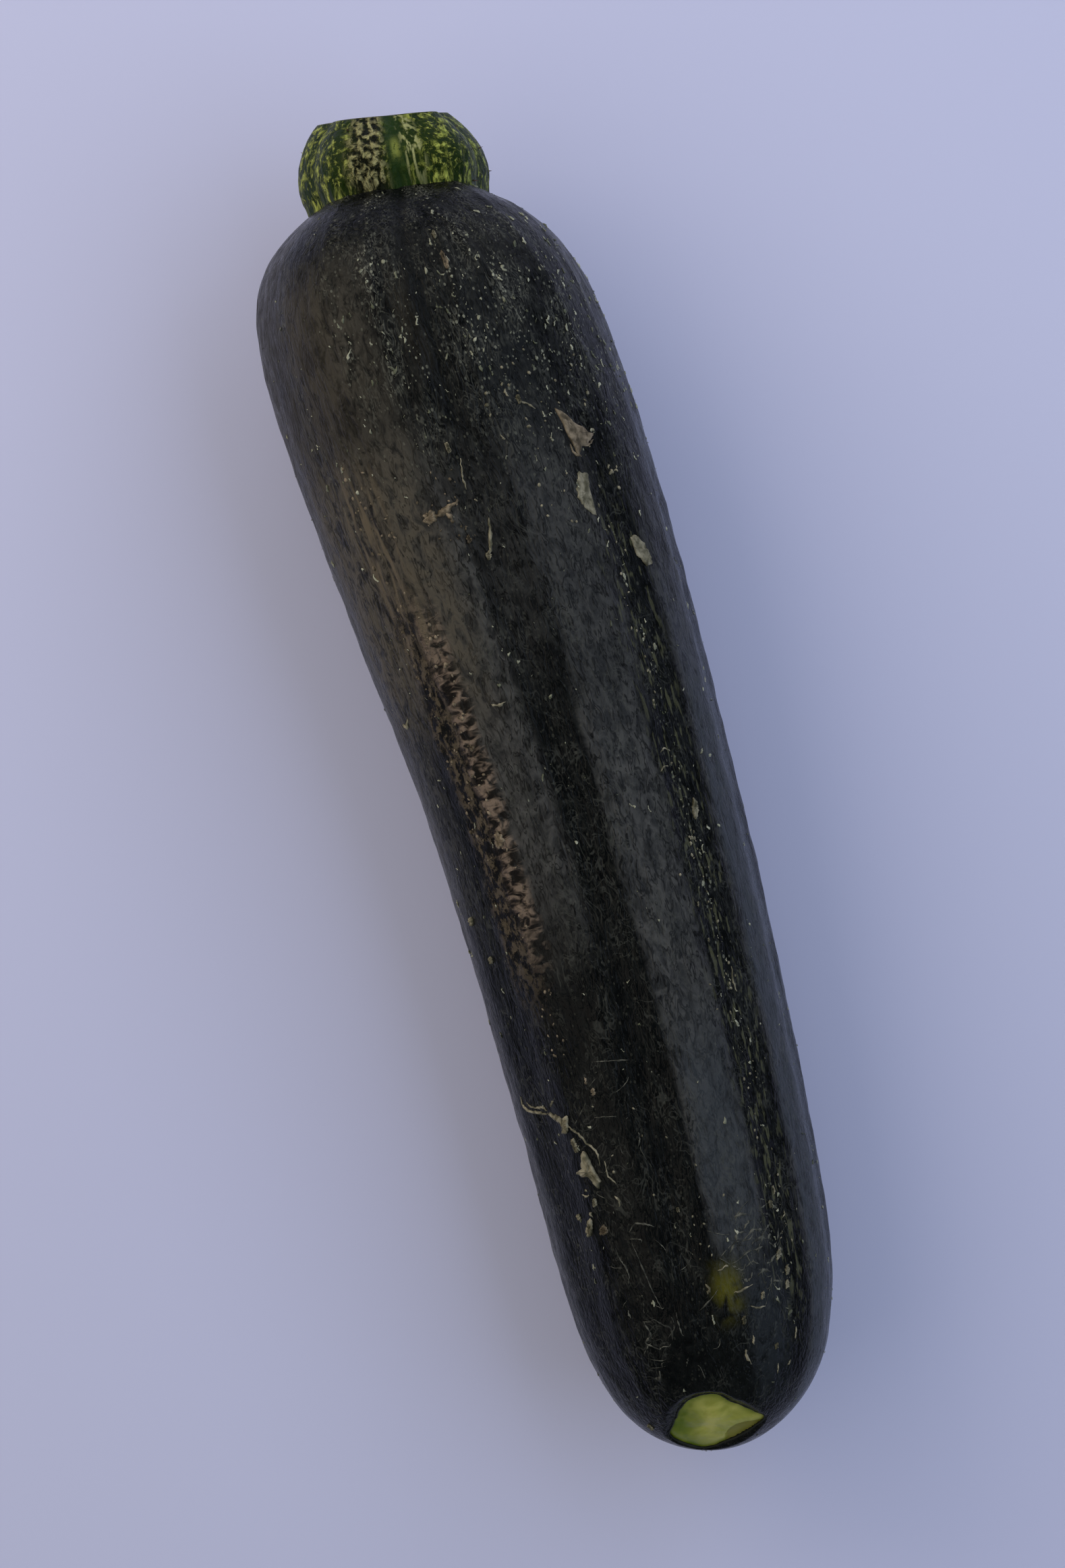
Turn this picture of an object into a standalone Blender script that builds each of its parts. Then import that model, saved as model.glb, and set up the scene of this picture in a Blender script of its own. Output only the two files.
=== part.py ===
"""A courgette lying on its side: the ribbed fruit, and the stub of stem it was cut with.

Run with:  blender --background --python part.py
Blender's units are metres, +Z up. The length lies along X, the stem points to +X, and Z = 0 is the
surface the courgette rests on. Each piece is first turned straight along X. Its ribs are then raised
by a formula, and it is laid along the gently bowed axis that both pieces share.

Lengths below are in millimetres and angles in degrees. A station is a distance along X from the
blossom end. An angle round the body starts straight up and grows towards -Y.
"""

import math

import bmesh
import bpy
from mathutils import Vector

MM = 0.001

# The fruit ends in a flat face, and the stem begins one gap further on.
JOINT_STATION = 184.6
JOINT_GAP = 0.3

# The point of the straight shape's axis that ends up over the origin, and the surface below it.
CENTRE_STATION = 99.32
CENTRE_SIDEWAYS = -0.13

# The fruit's half width at each station.
GIRTH = (
    (0.0, 0.0),
    (3.0, 9.4),
    (6.0, 12.9),
    (10.0, 15.7),
    (15.0, 17.6),
    (21.0, 19.0),
    (30.0, 19.8),
    (60.0, 21.0),
    (100.0, 22.4),
    (130.0, 24.1),
    (150.0, 24.9),
    (162.0, 24.7),
    (168.0, 24.1),
    (173.0, 22.8),
    (177.0, 20.9),
    (181.0, 17.5),
    (JOINT_STATION, 12.5),
)
FRUIT_RINGS = 60
FRUIT_SIDES = 64
RELIEF_FULL_AT = 6.0  # nearer the axis than this the relief fades out

# Eight soft ribs run along the body. Near the stem they give way to five broad shoulders.
RIB_COUNT = 8
RIB_HEIGHT = 0.5
RIB_ANGLE = 18.0  # of one rib near the top. Underneath, a rib points straight down
RIB_TWIST = 6.0
RIB_RISE = (8.0, 36.0)
RIB_FALL = (125.0, 168.0)
SHOULDER_COUNT = 5
SHOULDER_HEIGHT = 0.7
SHOULDER_ANGLE = 40.0
SHOULDER_RISE = (138.0, 176.0)

# The axis that both pieces are laid along. It bows towards -Y, and both of its ends turn up.
AXIS_SIDEWAYS = (
    (0.0, -3.2),
    (25.0, -1.1),
    (50.0, 0.4),
    (75.0, 1.3),
    (100.0, 1.6),
    (120.0, 1.15),
    (140.0, 0.35),
    (160.0, -0.5),
    (178.0, -0.5),
    (JOINT_STATION, 0.2),
    (196.0, 1.3),
)
AXIS_HEIGHT = (
    (0.0, 24.5),
    (15.0, 22.0),
    (30.0, 21.0),
    (60.0, 21.1),
    (100.0, 22.4),
    (130.0, 24.0),
    (155.0, 25.0),
    (196.0, 27.6),
)

# Towards the stem the cross sections lean over, so the shoulder at +Y stands further along.
LEAN_SLOPE = 0.13
LEAN_RISE = (135.0, 178.0)

# The stem's half width, by distance from where it begins. Its cut leans over and back a little more.
STEM_GIRTH = (
    (0.0, 12.5),
    (2.0, 13.15),
    (4.4, 13.1),
    (6.8, 12.4),
    (8.9, 11.2),
    (10.5, 9.9),
    (11.6, 8.8),
)
STEM_RINGS = 16
STEM_SIDES = 60
STEM_RIB_HEIGHT = 0.75
CUT_SLOPE = 0.055
CUT_PITCH = 0.15
CUT_RISE = (186.0, 196.0)

# The flower dropped off the nose and left a shallow dish, which faces up and away from the stem.
SCAR_CENTRE_STATION = 14.7
SCAR_DISTANCE = 14.2
SCAR_ELEVATION = 50.0
SCAR_YAW = 18.0
SCAR_RADIUS = 6.6
DISH_RADIUS = 34.0

BLOCK_SIZE = 220.0


def blend(value, span):
    """0 below the span, 1 above it, and a smooth step between."""
    low, high = span
    share = min(1.0, max(0.0, (value - low) / (high - low)))
    return share * share * (3 - 2 * share)


def read_curve(points, at):
    """A smooth curve through the points, read at one place along it."""
    last = len(points) - 1
    span = min(last - 1, sum(1 for place, _ in points[1:-1] if at >= place))

    def slope(index):
        before, after = points[max(0, index - 1)], points[min(last, index + 1)]
        return (after[1] - before[1]) / (after[0] - before[0])

    (start, low), (end, high) = points[span], points[span + 1]
    width = end - start
    t = (at - start) / width
    bend_in = slope(span) * width
    bend_out = slope(span + 1) * width
    return (
        low * (1 + 2 * t) * (1 - t) ** 2
        + bend_in * t * (1 - t) ** 2
        + high * t * t * (3 - 2 * t)
        + bend_out * t * t * (t - 1)
    )


def girth(points, at):
    """The half width at one station. Squares are what runs smoothly through a round nose."""
    squares = [(place, radius * radius) for place, radius in points]
    return math.sqrt(max(0.0, read_curve(squares, at)))


def rib_wave(count, crest, angle):
    return math.cos(count * math.radians(angle - crest))


def fruit_relief(station, angle):
    """How far the fruit's skin stands in or out of its turned shape."""
    upward = (1 + math.cos(math.radians(angle))) / 2
    crest = (RIB_ANGLE + RIB_TWIST * (station / JOINT_STATION - 0.5)) * upward
    ribs = blend(station, RIB_RISE) * (1 - blend(station, RIB_FALL))
    shoulders = blend(station, SHOULDER_RISE)
    return (
        RIB_HEIGHT * ribs * rib_wave(RIB_COUNT, crest, angle)
        + SHOULDER_HEIGHT * shoulders * rib_wave(SHOULDER_COUNT, SHOULDER_ANGLE, angle)
    )


def stem_relief(_, angle):
    """The stem's five ridges line up with the fruit's five shoulders."""
    return STEM_RIB_HEIGHT * rib_wave(SHOULDER_COUNT, SHOULDER_ANGLE, angle)


def lay(point):
    """Carries a point of the straight shape onto the bowed axis, with its middle over the origin."""
    station, y, z = point
    at_cut = blend(station, CUT_RISE)
    lean = (LEAN_SLOPE * blend(station, LEAN_RISE) + CUT_SLOPE * at_cut) * y - CUT_PITCH * at_cut * z
    sideways = read_curve(AXIS_SIDEWAYS, station) - CENTRE_SIDEWAYS
    return Vector((station + lean - CENTRE_STATION, y - sideways, z + read_curve(AXIS_HEIGHT, station)))


def in_collection(name):
    """A collection of the scene, made the first time it is asked for."""
    found = bpy.data.collections.get(name)
    if found is None:
        found = bpy.data.collections.new(name)
        bpy.context.scene.collection.children.link(found)
    return found


def material(name, colour, roughness):
    made = bpy.data.materials.new(name)
    made.use_nodes = True
    shader = made.node_tree.nodes["Principled BSDF"]
    shader.inputs["Base Color"].default_value = (*colour, 1.0)
    shader.inputs["Roughness"].default_value = roughness
    shader.inputs["Metallic"].default_value = 0.0
    return made


def turned(name, profile, sides):
    """A closed solid of revolution about X, from (station, radius) points that end on the axis."""
    mesh = bpy.data.meshes.new(name)
    points = [(station, 0.0, radius) for station, radius in profile]
    mesh.from_pydata(points, [(i, i + 1) for i in range(len(points) - 1)], [])
    outline = bpy.data.objects.new(name, mesh)
    in_collection("courgette").objects.link(outline)
    screw = outline.modifiers.new("turn", "SCREW")
    screw.axis = "X"
    screw.angle = 2 * math.pi
    screw.steps = screw.render_steps = sides
    screw.use_merge_vertices = True
    screw.merge_threshold = 0.0001
    graph = bpy.context.evaluated_depsgraph_get()
    solid = bpy.data.meshes.new_from_object(outline.evaluated_get(graph))
    outline.modifiers.clear()
    outline.data = solid
    bpy.data.meshes.remove(mesh)
    solid.name = name
    return outline


def shape(piece, relief, surface):
    """Raises the ribs on a turned piece, lays it along the axis and brings it to metres."""
    form = bmesh.new()
    form.from_mesh(piece.data)
    for vertex in form.verts:
        station, y, z = vertex.co
        radius = math.hypot(y, z)
        angle = math.degrees(math.atan2(-y, z))
        grown = 1 + relief(station, angle) * min(1.0, radius / RELIEF_FULL_AT) / max(radius, MM)
        vertex.co = lay((station, y * grown, z * grown)) * MM
    bmesh.ops.recalc_face_normals(form, faces=form.faces)
    form.to_mesh(piece.data)
    form.free()
    piece.data.shade_smooth()
    piece.data.set_sharp_from_angle(angle=math.radians(35))
    piece.data.materials.append(surface)


def cut(piece, cutter, name):
    """Takes the cutter's shape out of the piece, and keeps the cutter as a hidden guide."""
    cutter.name = name
    cutter.hide_render = True
    cutter.display_type = "WIRE"
    for owner in list(cutter.users_collection):
        owner.objects.unlink(cutter)
    in_collection("cutters").objects.link(cutter)
    taken = piece.modifiers.new(name, "BOOLEAN")
    taken.operation = "DIFFERENCE"
    taken.solver = "EXACT"
    taken.object = cutter


def ground_block():
    """A block under the surface that the courgette lies on, which leaves a flat spot on its belly."""
    size = BLOCK_SIZE * MM
    bpy.ops.mesh.primitive_cube_add(size=size, location=(0, 0, -size / 2))
    return bpy.context.object


def scar_ball():
    """A ball that dips into the nose where the flower was."""
    up, turn = math.radians(SCAR_ELEVATION), math.radians(SCAR_YAW)
    outwards = Vector((-math.cos(up) * math.cos(turn), math.cos(up) * math.sin(turn), math.sin(up)))
    rim = lay((SCAR_CENTRE_STATION, 0, 0)) + outwards * SCAR_DISTANCE
    centre = rim + outwards * math.sqrt(DISH_RADIUS**2 - SCAR_RADIUS**2)
    bpy.ops.mesh.primitive_uv_sphere_add(
        segments=96, ring_count=64, radius=DISH_RADIUS * MM, location=centre * MM
    )
    ball = bpy.context.object
    ball.rotation_euler = (-outwards).to_track_quat("Z", "Y").to_euler()
    return ball


def make_fruit():
    stations = [
        JOINT_STATION * (1 - math.cos(math.pi * ring / FRUIT_RINGS)) / 2
        for ring in range(FRUIT_RINGS + 1)
    ]
    profile = [(station, girth(GIRTH, station)) for station in stations]
    fruit = turned("fruit", [*profile, (JOINT_STATION, 0.0)], FRUIT_SIDES)
    shape(fruit, fruit_relief, material("dark_green_skin", (0.024, 0.036, 0.025), 0.4))
    cut(fruit, ground_block(), "ground_block")
    cut(fruit, scar_ball(), "scar_ball")
    return fruit


def make_stem():
    start, height = JOINT_STATION + JOINT_GAP, STEM_GIRTH[-1][0]
    profile = [
        (start + height * ring / STEM_RINGS, girth(STEM_GIRTH, height * ring / STEM_RINGS))
        for ring in range(STEM_RINGS + 1)
    ]
    ends = [(start, 0.0), *profile, (start + height, 0.0)]
    stem = turned("stem", ends, STEM_SIDES)
    shape(stem, stem_relief, material("mottled_green_stem", (0.115, 0.175, 0.045), 0.65))
    return stem


def main():
    for leftover in list(bpy.data.objects):
        bpy.data.objects.remove(leftover)
    make_fruit()
    make_stem()


main()
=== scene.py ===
"""The dressed courgette: its fine skin, stem, flower scar, flecks, scabs and thorns, with floor and light.

The fruit and the stem follow the same formulas as the plain solids, with far more rings and sides, and
with the small relief that a plain solid leaves out. Everything that sits on the skin is laid on it by
station and angle. Lengths in the shape code are in millimetres and angles in degrees. A station is a
distance along the fruit from its blossom end, and an angle grows from straight up towards -Y.
"""

import math

import bmesh
import bpy
import numpy as np
from mathutils import Matrix, Vector, noise

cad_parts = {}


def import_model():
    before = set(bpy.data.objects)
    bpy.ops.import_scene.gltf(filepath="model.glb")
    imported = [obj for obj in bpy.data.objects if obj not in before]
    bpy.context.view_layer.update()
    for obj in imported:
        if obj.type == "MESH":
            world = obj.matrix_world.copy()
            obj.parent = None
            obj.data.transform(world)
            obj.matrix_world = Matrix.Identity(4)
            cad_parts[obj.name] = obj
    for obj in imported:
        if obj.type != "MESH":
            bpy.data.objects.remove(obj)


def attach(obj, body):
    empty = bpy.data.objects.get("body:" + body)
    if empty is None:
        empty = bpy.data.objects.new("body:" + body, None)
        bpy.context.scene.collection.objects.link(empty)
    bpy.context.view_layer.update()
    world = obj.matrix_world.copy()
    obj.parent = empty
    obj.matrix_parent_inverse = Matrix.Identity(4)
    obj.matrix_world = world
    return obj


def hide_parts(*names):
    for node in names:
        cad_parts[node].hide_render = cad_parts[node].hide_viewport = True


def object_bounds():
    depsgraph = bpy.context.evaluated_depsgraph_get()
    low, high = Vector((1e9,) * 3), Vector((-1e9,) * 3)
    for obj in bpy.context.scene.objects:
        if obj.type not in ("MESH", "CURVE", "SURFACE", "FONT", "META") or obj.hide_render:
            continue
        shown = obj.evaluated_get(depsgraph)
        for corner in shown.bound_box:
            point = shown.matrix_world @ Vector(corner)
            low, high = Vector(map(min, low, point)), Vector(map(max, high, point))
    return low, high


MM = 0.001

# ---- The form, as the plain solids have it ----

JOINT_STATION = 184.6
CENTRE_STATION = 99.32
CENTRE_SIDEWAYS = -0.13
RELIEF_FULL_AT = 6.0  # nearer the axis than this the relief fades out
GIRTH = (
    (0.0, 0.0), (3.0, 9.4), (6.0, 12.9), (10.0, 15.7), (15.0, 17.6), (21.0, 19.0), (30.0, 19.8),
    (60.0, 21.0), (100.0, 22.4), (130.0, 24.1), (150.0, 24.9), (162.0, 24.7), (168.0, 24.1),
    (173.0, 22.8), (177.0, 20.9), (181.0, 17.5), (JOINT_STATION, 12.5),
)
RIB_COUNT = 8
RIB_HEIGHT = 0.5
RIB_ANGLE = 18.0
RIB_TWIST = 6.0
RIB_RISE = (8.0, 36.0)
RIB_FALL = (125.0, 168.0)
SHOULDER_COUNT = 5
SHOULDER_HEIGHT = 0.7
SHOULDER_ANGLE = 40.0
SHOULDER_RISE = (138.0, 176.0)
AXIS_SIDEWAYS = (
    (0.0, -3.2), (25.0, -1.1), (50.0, 0.4), (75.0, 1.3), (100.0, 1.6), (120.0, 1.15), (140.0, 0.35),
    (160.0, -0.5), (178.0, -0.5), (JOINT_STATION, 0.2), (196.0, 1.3),
)
AXIS_HEIGHT = (
    (0.0, 24.5), (15.0, 22.0), (30.0, 21.0), (60.0, 21.1), (100.0, 22.4), (130.0, 24.0),
    (155.0, 25.0), (196.0, 27.6),
)
LEAN_SLOPE = 0.13
LEAN_RISE = (135.0, 178.0)
CUT_SLOPE = 0.055
CUT_PITCH = 0.15
CUT_RISE = (186.0, 196.0)
STEM_GIRTH = ((0.0, 12.5), (2.0, 13.15), (4.4, 13.1), (6.8, 12.4), (8.9, 11.2), (10.5, 9.9), (11.6, 8.8))
STEM_START = JOINT_STATION + 0.3
STEM_RIB_HEIGHT = 0.75
SCAR_STATION = 14.7
SCAR_DISTANCE = 14.2
SCAR_ELEVATION = 50.0
SCAR_YAW = 18.0

# ---- Sizes of this file's own ----

FRUIT_RINGS, FRUIT_SIDES = 424, 216
STEM_RINGS, STEM_SIDES = 64, 260
FLESH_RINGS, FLESH_SIDES = 34, 150
LIP_SIDES, LIP_SECTION = 240, 8
PROFILE_TRIES = 4000
SCAB_SIDES = 44
CRUMB_SIDES = 6
SKIN_RADIUS = 22.0  # a usual half width, which the grain sizes of the noise are measured at
DEGREE = 0.39  # roughly how far one degree reaches round the skin, in millimetres
NECK_DEPTH = 0.8  # of the crease beside the stem
SKIN_SINK = 0.07  # keeps the skin's small relief within the plain solid
SCAR_REACH = 9.0  # the nose is pressed no further from the scar's middle than this
SCAR_BACK = 6.0  # nor further below its plane
SCAR_LIP = 0.12
SCAR_SINK = 1.1
SCAR_EDGE_WIDTH = 0.45
CUT_RIM, CUT_FLOOR = 0.93, 0.5  # rings inside the stem's cut, as shares of its outline
STEM_TUCK = 1.1  # how far the stem's foot reaches into the fruit
LAMP_DISTANCE = 0.62  # in metres


def blend(value, low, high):
    """0 below low, 1 above high, and a smooth step between."""
    share = np.clip((value - low) / (high - low), 0.0, 1.0)
    return share * share * (3 - 2 * share)


def read_curve(points, at):
    """A smooth curve through the points, read at many places along it."""
    places, values = np.array(points, dtype=float).T
    slopes = np.gradient(values, places)
    slopes[1:-1] = (values[2:] - values[:-2]) / (places[2:] - places[:-2])
    at = np.asarray(at, dtype=float)
    span = np.clip(np.searchsorted(places, at, side="right") - 1, 0, len(places) - 2)
    width = places[span + 1] - places[span]
    t = (at - places[span]) / width
    return (
        values[span] * (1 + 2 * t) * (1 - t) ** 2
        + slopes[span] * width * t * (1 - t) ** 2
        + values[span + 1] * t * t * (3 - 2 * t)
        + slopes[span + 1] * width * t * t * (t - 1)
    )


def girth(points, at):
    """The half width. Squares are what runs smoothly through a round nose."""
    squares = [(place, radius * radius) for place, radius in points]
    return np.sqrt(np.maximum(0.0, read_curve(squares, at)))


def rib_phase(station, angle):
    """1 on the crest of a rib and -1 in the groove between two."""
    return np.cos(rib_turn(station, angle))


def rib_turn(station, angle):
    upward = (1 + np.cos(np.radians(angle))) / 2
    crest = (RIB_ANGLE + RIB_TWIST * (station / JOINT_STATION - 0.5)) * upward
    return RIB_COUNT * np.radians(angle - crest)


def shoulder_phase(angle):
    return np.cos(SHOULDER_COUNT * np.radians(angle - SHOULDER_ANGLE))


def form_relief(station, angle):
    """The ribs and shoulders of the plain solid. Here each rib is a flat face between two edges."""
    ribs = blend(station, *RIB_RISE) * (1 - blend(station, *RIB_FALL))
    shoulders = blend(station, *SHOULDER_RISE)
    turn = rib_turn(station, angle)
    return (
        RIB_HEIGHT * ribs * (0.60 * np.cos(turn) - 0.26 * np.cos(2 * turn))
        + SHOULDER_HEIGHT * shoulders * shoulder_phase(angle)
    )


def lay(station, y, z):
    """Points of the straight shape, laid on the bowed axis, as an array of rows."""
    at_cut = blend(station, *CUT_RISE)
    lean = (LEAN_SLOPE * blend(station, *LEAN_RISE) + CUT_SLOPE * at_cut) * y - CUT_PITCH * at_cut * z
    sideways = read_curve(AXIS_SIDEWAYS, station) - CENTRE_SIDEWAYS
    height = read_curve(AXIS_HEIGHT, station)
    return np.stack([station + lean - CENTRE_STATION, y - sideways, z + height], axis=-1)


def around(angle, radius):
    """Sideways and upward parts of a radius at an angle."""
    turn = np.radians(angle)
    return -radius * np.sin(turn), radius * np.cos(turn)


# ---- Small relief and colour zones ----


def noise_at(points, octaves):
    """Seeded noise at each row of points, from about -1 to 1."""
    return np.array([noise.fractal(Vector(point), 1.0, 2.0, octaves) for point in points])


def rough(station, angle, along, across, seed):
    """Noise on the skin, with one grain size along the fruit and another across it."""
    y, z = around(np.asarray(angle, dtype=float), SKIN_RADIUS)
    x = np.broadcast_to(station / along, y.shape) + 17.3 * seed
    points = np.stack([x, y / across, z / across + 5.1 * seed], axis=-1)
    return noise_at(points.reshape(-1, 3), 2).reshape(y.shape)


def band(value, span, soft):
    """1 inside a span, fading to 0 past both its ends."""
    low, high = span
    return blend(value, low - soft, low + soft) * (1 - blend(value, high - soft, high + soft))


def zone(station, angle, stations, angles, soft_station=4.0, soft_angle=3.0):
    """1 inside a stretch of skin, fading to 0 past its edges."""
    return band(station, stations, soft_station) * band(angle, angles, soft_angle)


def patch(station, angle, strength, stations, angles, soft_station, soft_angle, waver=None):
    """A stretch of skin whose edge may waver, by (degrees, grain along, grain across, seed)."""
    if waver:
        angle = angle + waver[0] * rough(station, angle, *waver[1:])
    return strength * zone(station, angle, stations, angles, soft_station, soft_angle)


def patches(station, angle, rows):
    """The strongest of several patches at each point."""
    return np.maximum.reduce([patch(station, angle, *row) for row in rows])


def cork_zone(station, angle):
    """The corky streak down one rib, whose pale colour is partly a painted warm highlight: cross-wise ripples
    first, then strands that run towards the stem.
    """
    wander = 2.2 * rough(station, angle, 9, 9, seed=9)
    ripples = zone(station, angle + wander, (77, 125), (-38.8, -29.4), 7, 1.8)
    strands = zone(station, angle + wander, (120, 147), (-52, -34), 5, 4)
    return ripples, strands


def lump_zone(station, angle):
    """Brown corky lumps and hollows below the ripples."""
    wander = 3.0 * rough(station, angle, 8, 6, seed=10)
    return zone(station, angle + wander, (72, 128), (-50, -35.5), 8, 3)


# Rows of specks run down from the stem. Each has an angle at the crown's middle, and a drift per
# millimetre.
CROWN_MIDDLE = 165
CROWN_ROWS = (
    (-30.5, 0.0), (-16.0, 0.13), (-4.0, 0.5), (11.5, 0.12), (27.0, -0.7), (46.0, -0.4), (66.0, -0.2),
)


def crown_rows(station, angle):
    """Lengthwise ridges that run down from the stem, on both sides of a smooth valley."""
    wander = angle + 1.1 * rough(station, angle, 7, 14, seed=12)
    from_middle = station - CROWN_MIDDLE
    rows = sum(np.exp(-(((wander - at - drift * from_middle) / 2.1) ** 2)) for at, drift in CROWN_ROWS)
    valley = np.exp(-(((wander + 1 - 0.05 * from_middle) / 3.6) ** 2)) * blend(station, 144, 158)
    return rows * blend(station, 144, 164) * (1 - 0.75 * valley), valley


def skin_detail(station, angle):
    """Small dents, lengthwise wrinkles and cork, in millimetres."""
    ripples, strands = cork_zone(station, angle)
    rows, valley = crown_rows(station, angle)
    side_furrow = zone(station, angle, (20, 135), (29, 50), 8, 4)
    # Each layer's depth, its grain along and across, and its seed.
    layers = (
        (0.14, 24, 11, 1),
        (0.10, 8, 4.5, 7),
        (0.11, 3.4, 1.9, 2),
        (0.24 * side_furrow, 6, 1.8, 3),
        (0.42 * lump_zone(station, angle), 2.4, 1.8, 4),
        (0.30 * ripples, 1.6, 2.4, 5),
        (0.18 * strands, 6.0, 1.2, 6),
    )
    small = sum(depth * rough(station, angle, *grain) for depth, *grain in layers)
    body = blend(station, 4, 14) * (small + 0.30 * ripples + 0.24 * rows - 0.30 * valley)
    neck = zone(station, angle, (181.6, 188), (45, 115), 1.2, 12)
    return body - NECK_DEPTH * neck - SKIN_SINK


# The torn edge round the scar: a distance from its middle for each direction, from -Y round to the top.
SCAR_EDGE = (
    (-180, 5.7), (-163, 6.5), (-150, 7.5), (-125, 7.0), (-100, 6.5), (-75, 5.2), (-45, 4.95), (-15, 5.6),
    (8, 6.8), (20, 5.6), (42, 4.7), (68, 4.35), (88, 5.25), (115, 5.75), (150, 5.7), (180, 5.7),
)


class ScarPlane:
    """The plane across the nose where the flower was, with its two directions and the way it faces."""

    def __init__(self):
        up, turn = math.radians(SCAR_ELEVATION), math.radians(SCAR_YAW)
        self.out = np.array([-math.cos(up) * math.cos(turn), math.cos(up) * math.sin(turn), math.sin(up)])
        axis_point = lay(np.array(SCAR_STATION), np.array(0.0), np.array(0.0))
        self.centre = axis_point + self.out * SCAR_DISTANCE
        side = np.cross(np.array([0.0, 0.0, 1.0]), self.out)
        self.side = side / np.linalg.norm(side)  # towards -Y
        self.up = np.cross(self.out, self.side)

    def rim(self, turn):
        """The torn edge's distance from the centre, in each direction."""
        return read_curve(SCAR_EDGE, (np.degrees(turn) + 180) % 360 - 180)

    def spread(self, points):
        """Distance from the centre, direction, and height above the plane."""
        offset = points - self.centre
        across, upward = offset @ self.side, offset @ self.up
        return np.hypot(across, upward), np.arctan2(upward, across), offset @ self.out

    def place(self, distance, turn, height):
        return (
            self.centre
            + (distance * np.cos(turn))[..., None] * self.side
            + (distance * np.sin(turn))[..., None] * self.up
            + np.asarray(height)[..., None] * self.out
        )


SCAR = ScarPlane()


def press_scar(points):
    """Sinks the nose inside the torn edge, and lowers the skin round it to a lip."""
    distance, turn, height = SCAR.spread(points)
    past_edge = distance - SCAR.rim(turn)
    lip = SCAR_LIP + 0.60 * np.maximum(0, past_edge)
    ceiling = lip - (lip + SCAR_SINK) * (1 - blend(past_edge, -SCAR_EDGE_WIDTH, 0.0))
    near = (distance < SCAR_REACH) & (height > -SCAR_BACK)
    return points + (near * np.minimum(0.0, ceiling - height))[..., None] * SCAR.out


def skin(station, angle, detail=None):
    """Points on the finished skin, in millimetres."""
    station, angle = np.broadcast_arrays(np.asarray(station, float), np.asarray(angle, float))
    radius = girth(GIRTH, station)
    detail = skin_detail(station, angle) if detail is None else detail
    full = np.clip(radius / RELIEF_FULL_AT, 0, 1)
    points = lay(station, *around(angle, radius + (form_relief(station, angle) + detail) * full))
    points = press_scar(points)
    points[..., 2] = np.maximum(points[..., 2], 0.0)
    return points


def skin_frame(station, angle):
    """Points on the skin with the way out of it, for what is laid there."""
    here = skin(station, angle)
    detail = skin_detail(station, angle)
    along = skin(station + 0.2, angle, detail) - skin(station - 0.2, angle, detail)
    across = skin(station, angle + 0.5, detail) - skin(station, angle - 0.5, detail)
    out = np.cross(across, along)
    return here, out / np.linalg.norm(out, axis=-1, keepdims=True)


# ---- Meshes ----


def mesh_piece(name, points, faces, surface, smooth=True):
    """An object from points in millimetres."""
    mesh = bpy.data.meshes.new(name)
    mesh.from_pydata(np.asarray(points) * MM, [], [tuple(map(int, face)) for face in faces])
    mesh.validate()
    mesh.update()
    if smooth:
        mesh.shade_smooth()
    mesh.materials.append(surface)
    piece = bpy.data.objects.new(name, mesh)
    bpy.context.scene.collection.objects.link(piece)
    return piece


def grid_faces(rings, sides):
    """Quads between closed rings of points, facing outwards where each ring is the next one along +X."""
    ring, side = np.meshgrid(np.arange(rings - 1), np.arange(sides), indexing="ij")
    here, right = ring * sides + side, ring * sides + (side + 1) % sides
    return np.stack([here, here + sides, right + sides, right], axis=-1).reshape(-1, 4)


def fan(centre, ring_start, sides, flip):
    """Triangles from one point to a ring."""
    side = np.arange(sides)
    first, second = ring_start + side, ring_start + (side + 1) % sides
    if flip:
        first, second = second, first
    return np.stack([np.full(sides, centre), first, second], axis=-1)


def spread_stations(points, rings):
    """Stations that are evenly far apart along a profile."""
    tries = np.linspace(points[0][0], points[-1][0], PROFILE_TRIES)
    steps = np.hypot(np.diff(tries), np.diff(girth(points, tries)))
    path = np.concatenate([[0], np.cumsum(steps)])
    return np.interp(np.linspace(0, path[-1], rings), path, tries)


def ring_grid(stations, sides):
    """Every station at every angle round it, starting from straight down."""
    angles = 180.0 - 360.0 * np.arange(sides) / sides
    return np.meshgrid(stations, angles, indexing="ij")


def on_axis(station):
    return lay(np.array([station]), np.array([0.0]), np.array([0.0]))


def add_number(piece, name, values):
    made = piece.data.attributes.new(name, "FLOAT", "POINT")
    made.data.foreach_set("value", np.ravel(values).astype(float))


def add_vector(piece, name, values):
    made = piece.data.attributes.new(name, "FLOAT_VECTOR", "POINT")
    made.data.foreach_set("vector", np.ravel(values).astype(float))


# Faces between the dark furrows, where a grey reflection of the lamps is painted into the colour. Each row
# is a patch: how strong it is, its stations and angles, and how soft its ends and its sides are.
PAINTED_SHEEN_FACES = (
    (1.0, (29, 112), (6.2, 30.5), 9, 1.4),
    (0.8, (108, 148), (8, 36), 9, 4),
    (1.0, (80, 150), (-34, -11), 12, 2.5),
    (0.35, (116, 150), (-12, 12), 10, 4),
    (0.9, (-2, 128), (50, 76), 20, 2),
    (0.75, (86, 150), (-86, -58), 16, 4),
)

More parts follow.
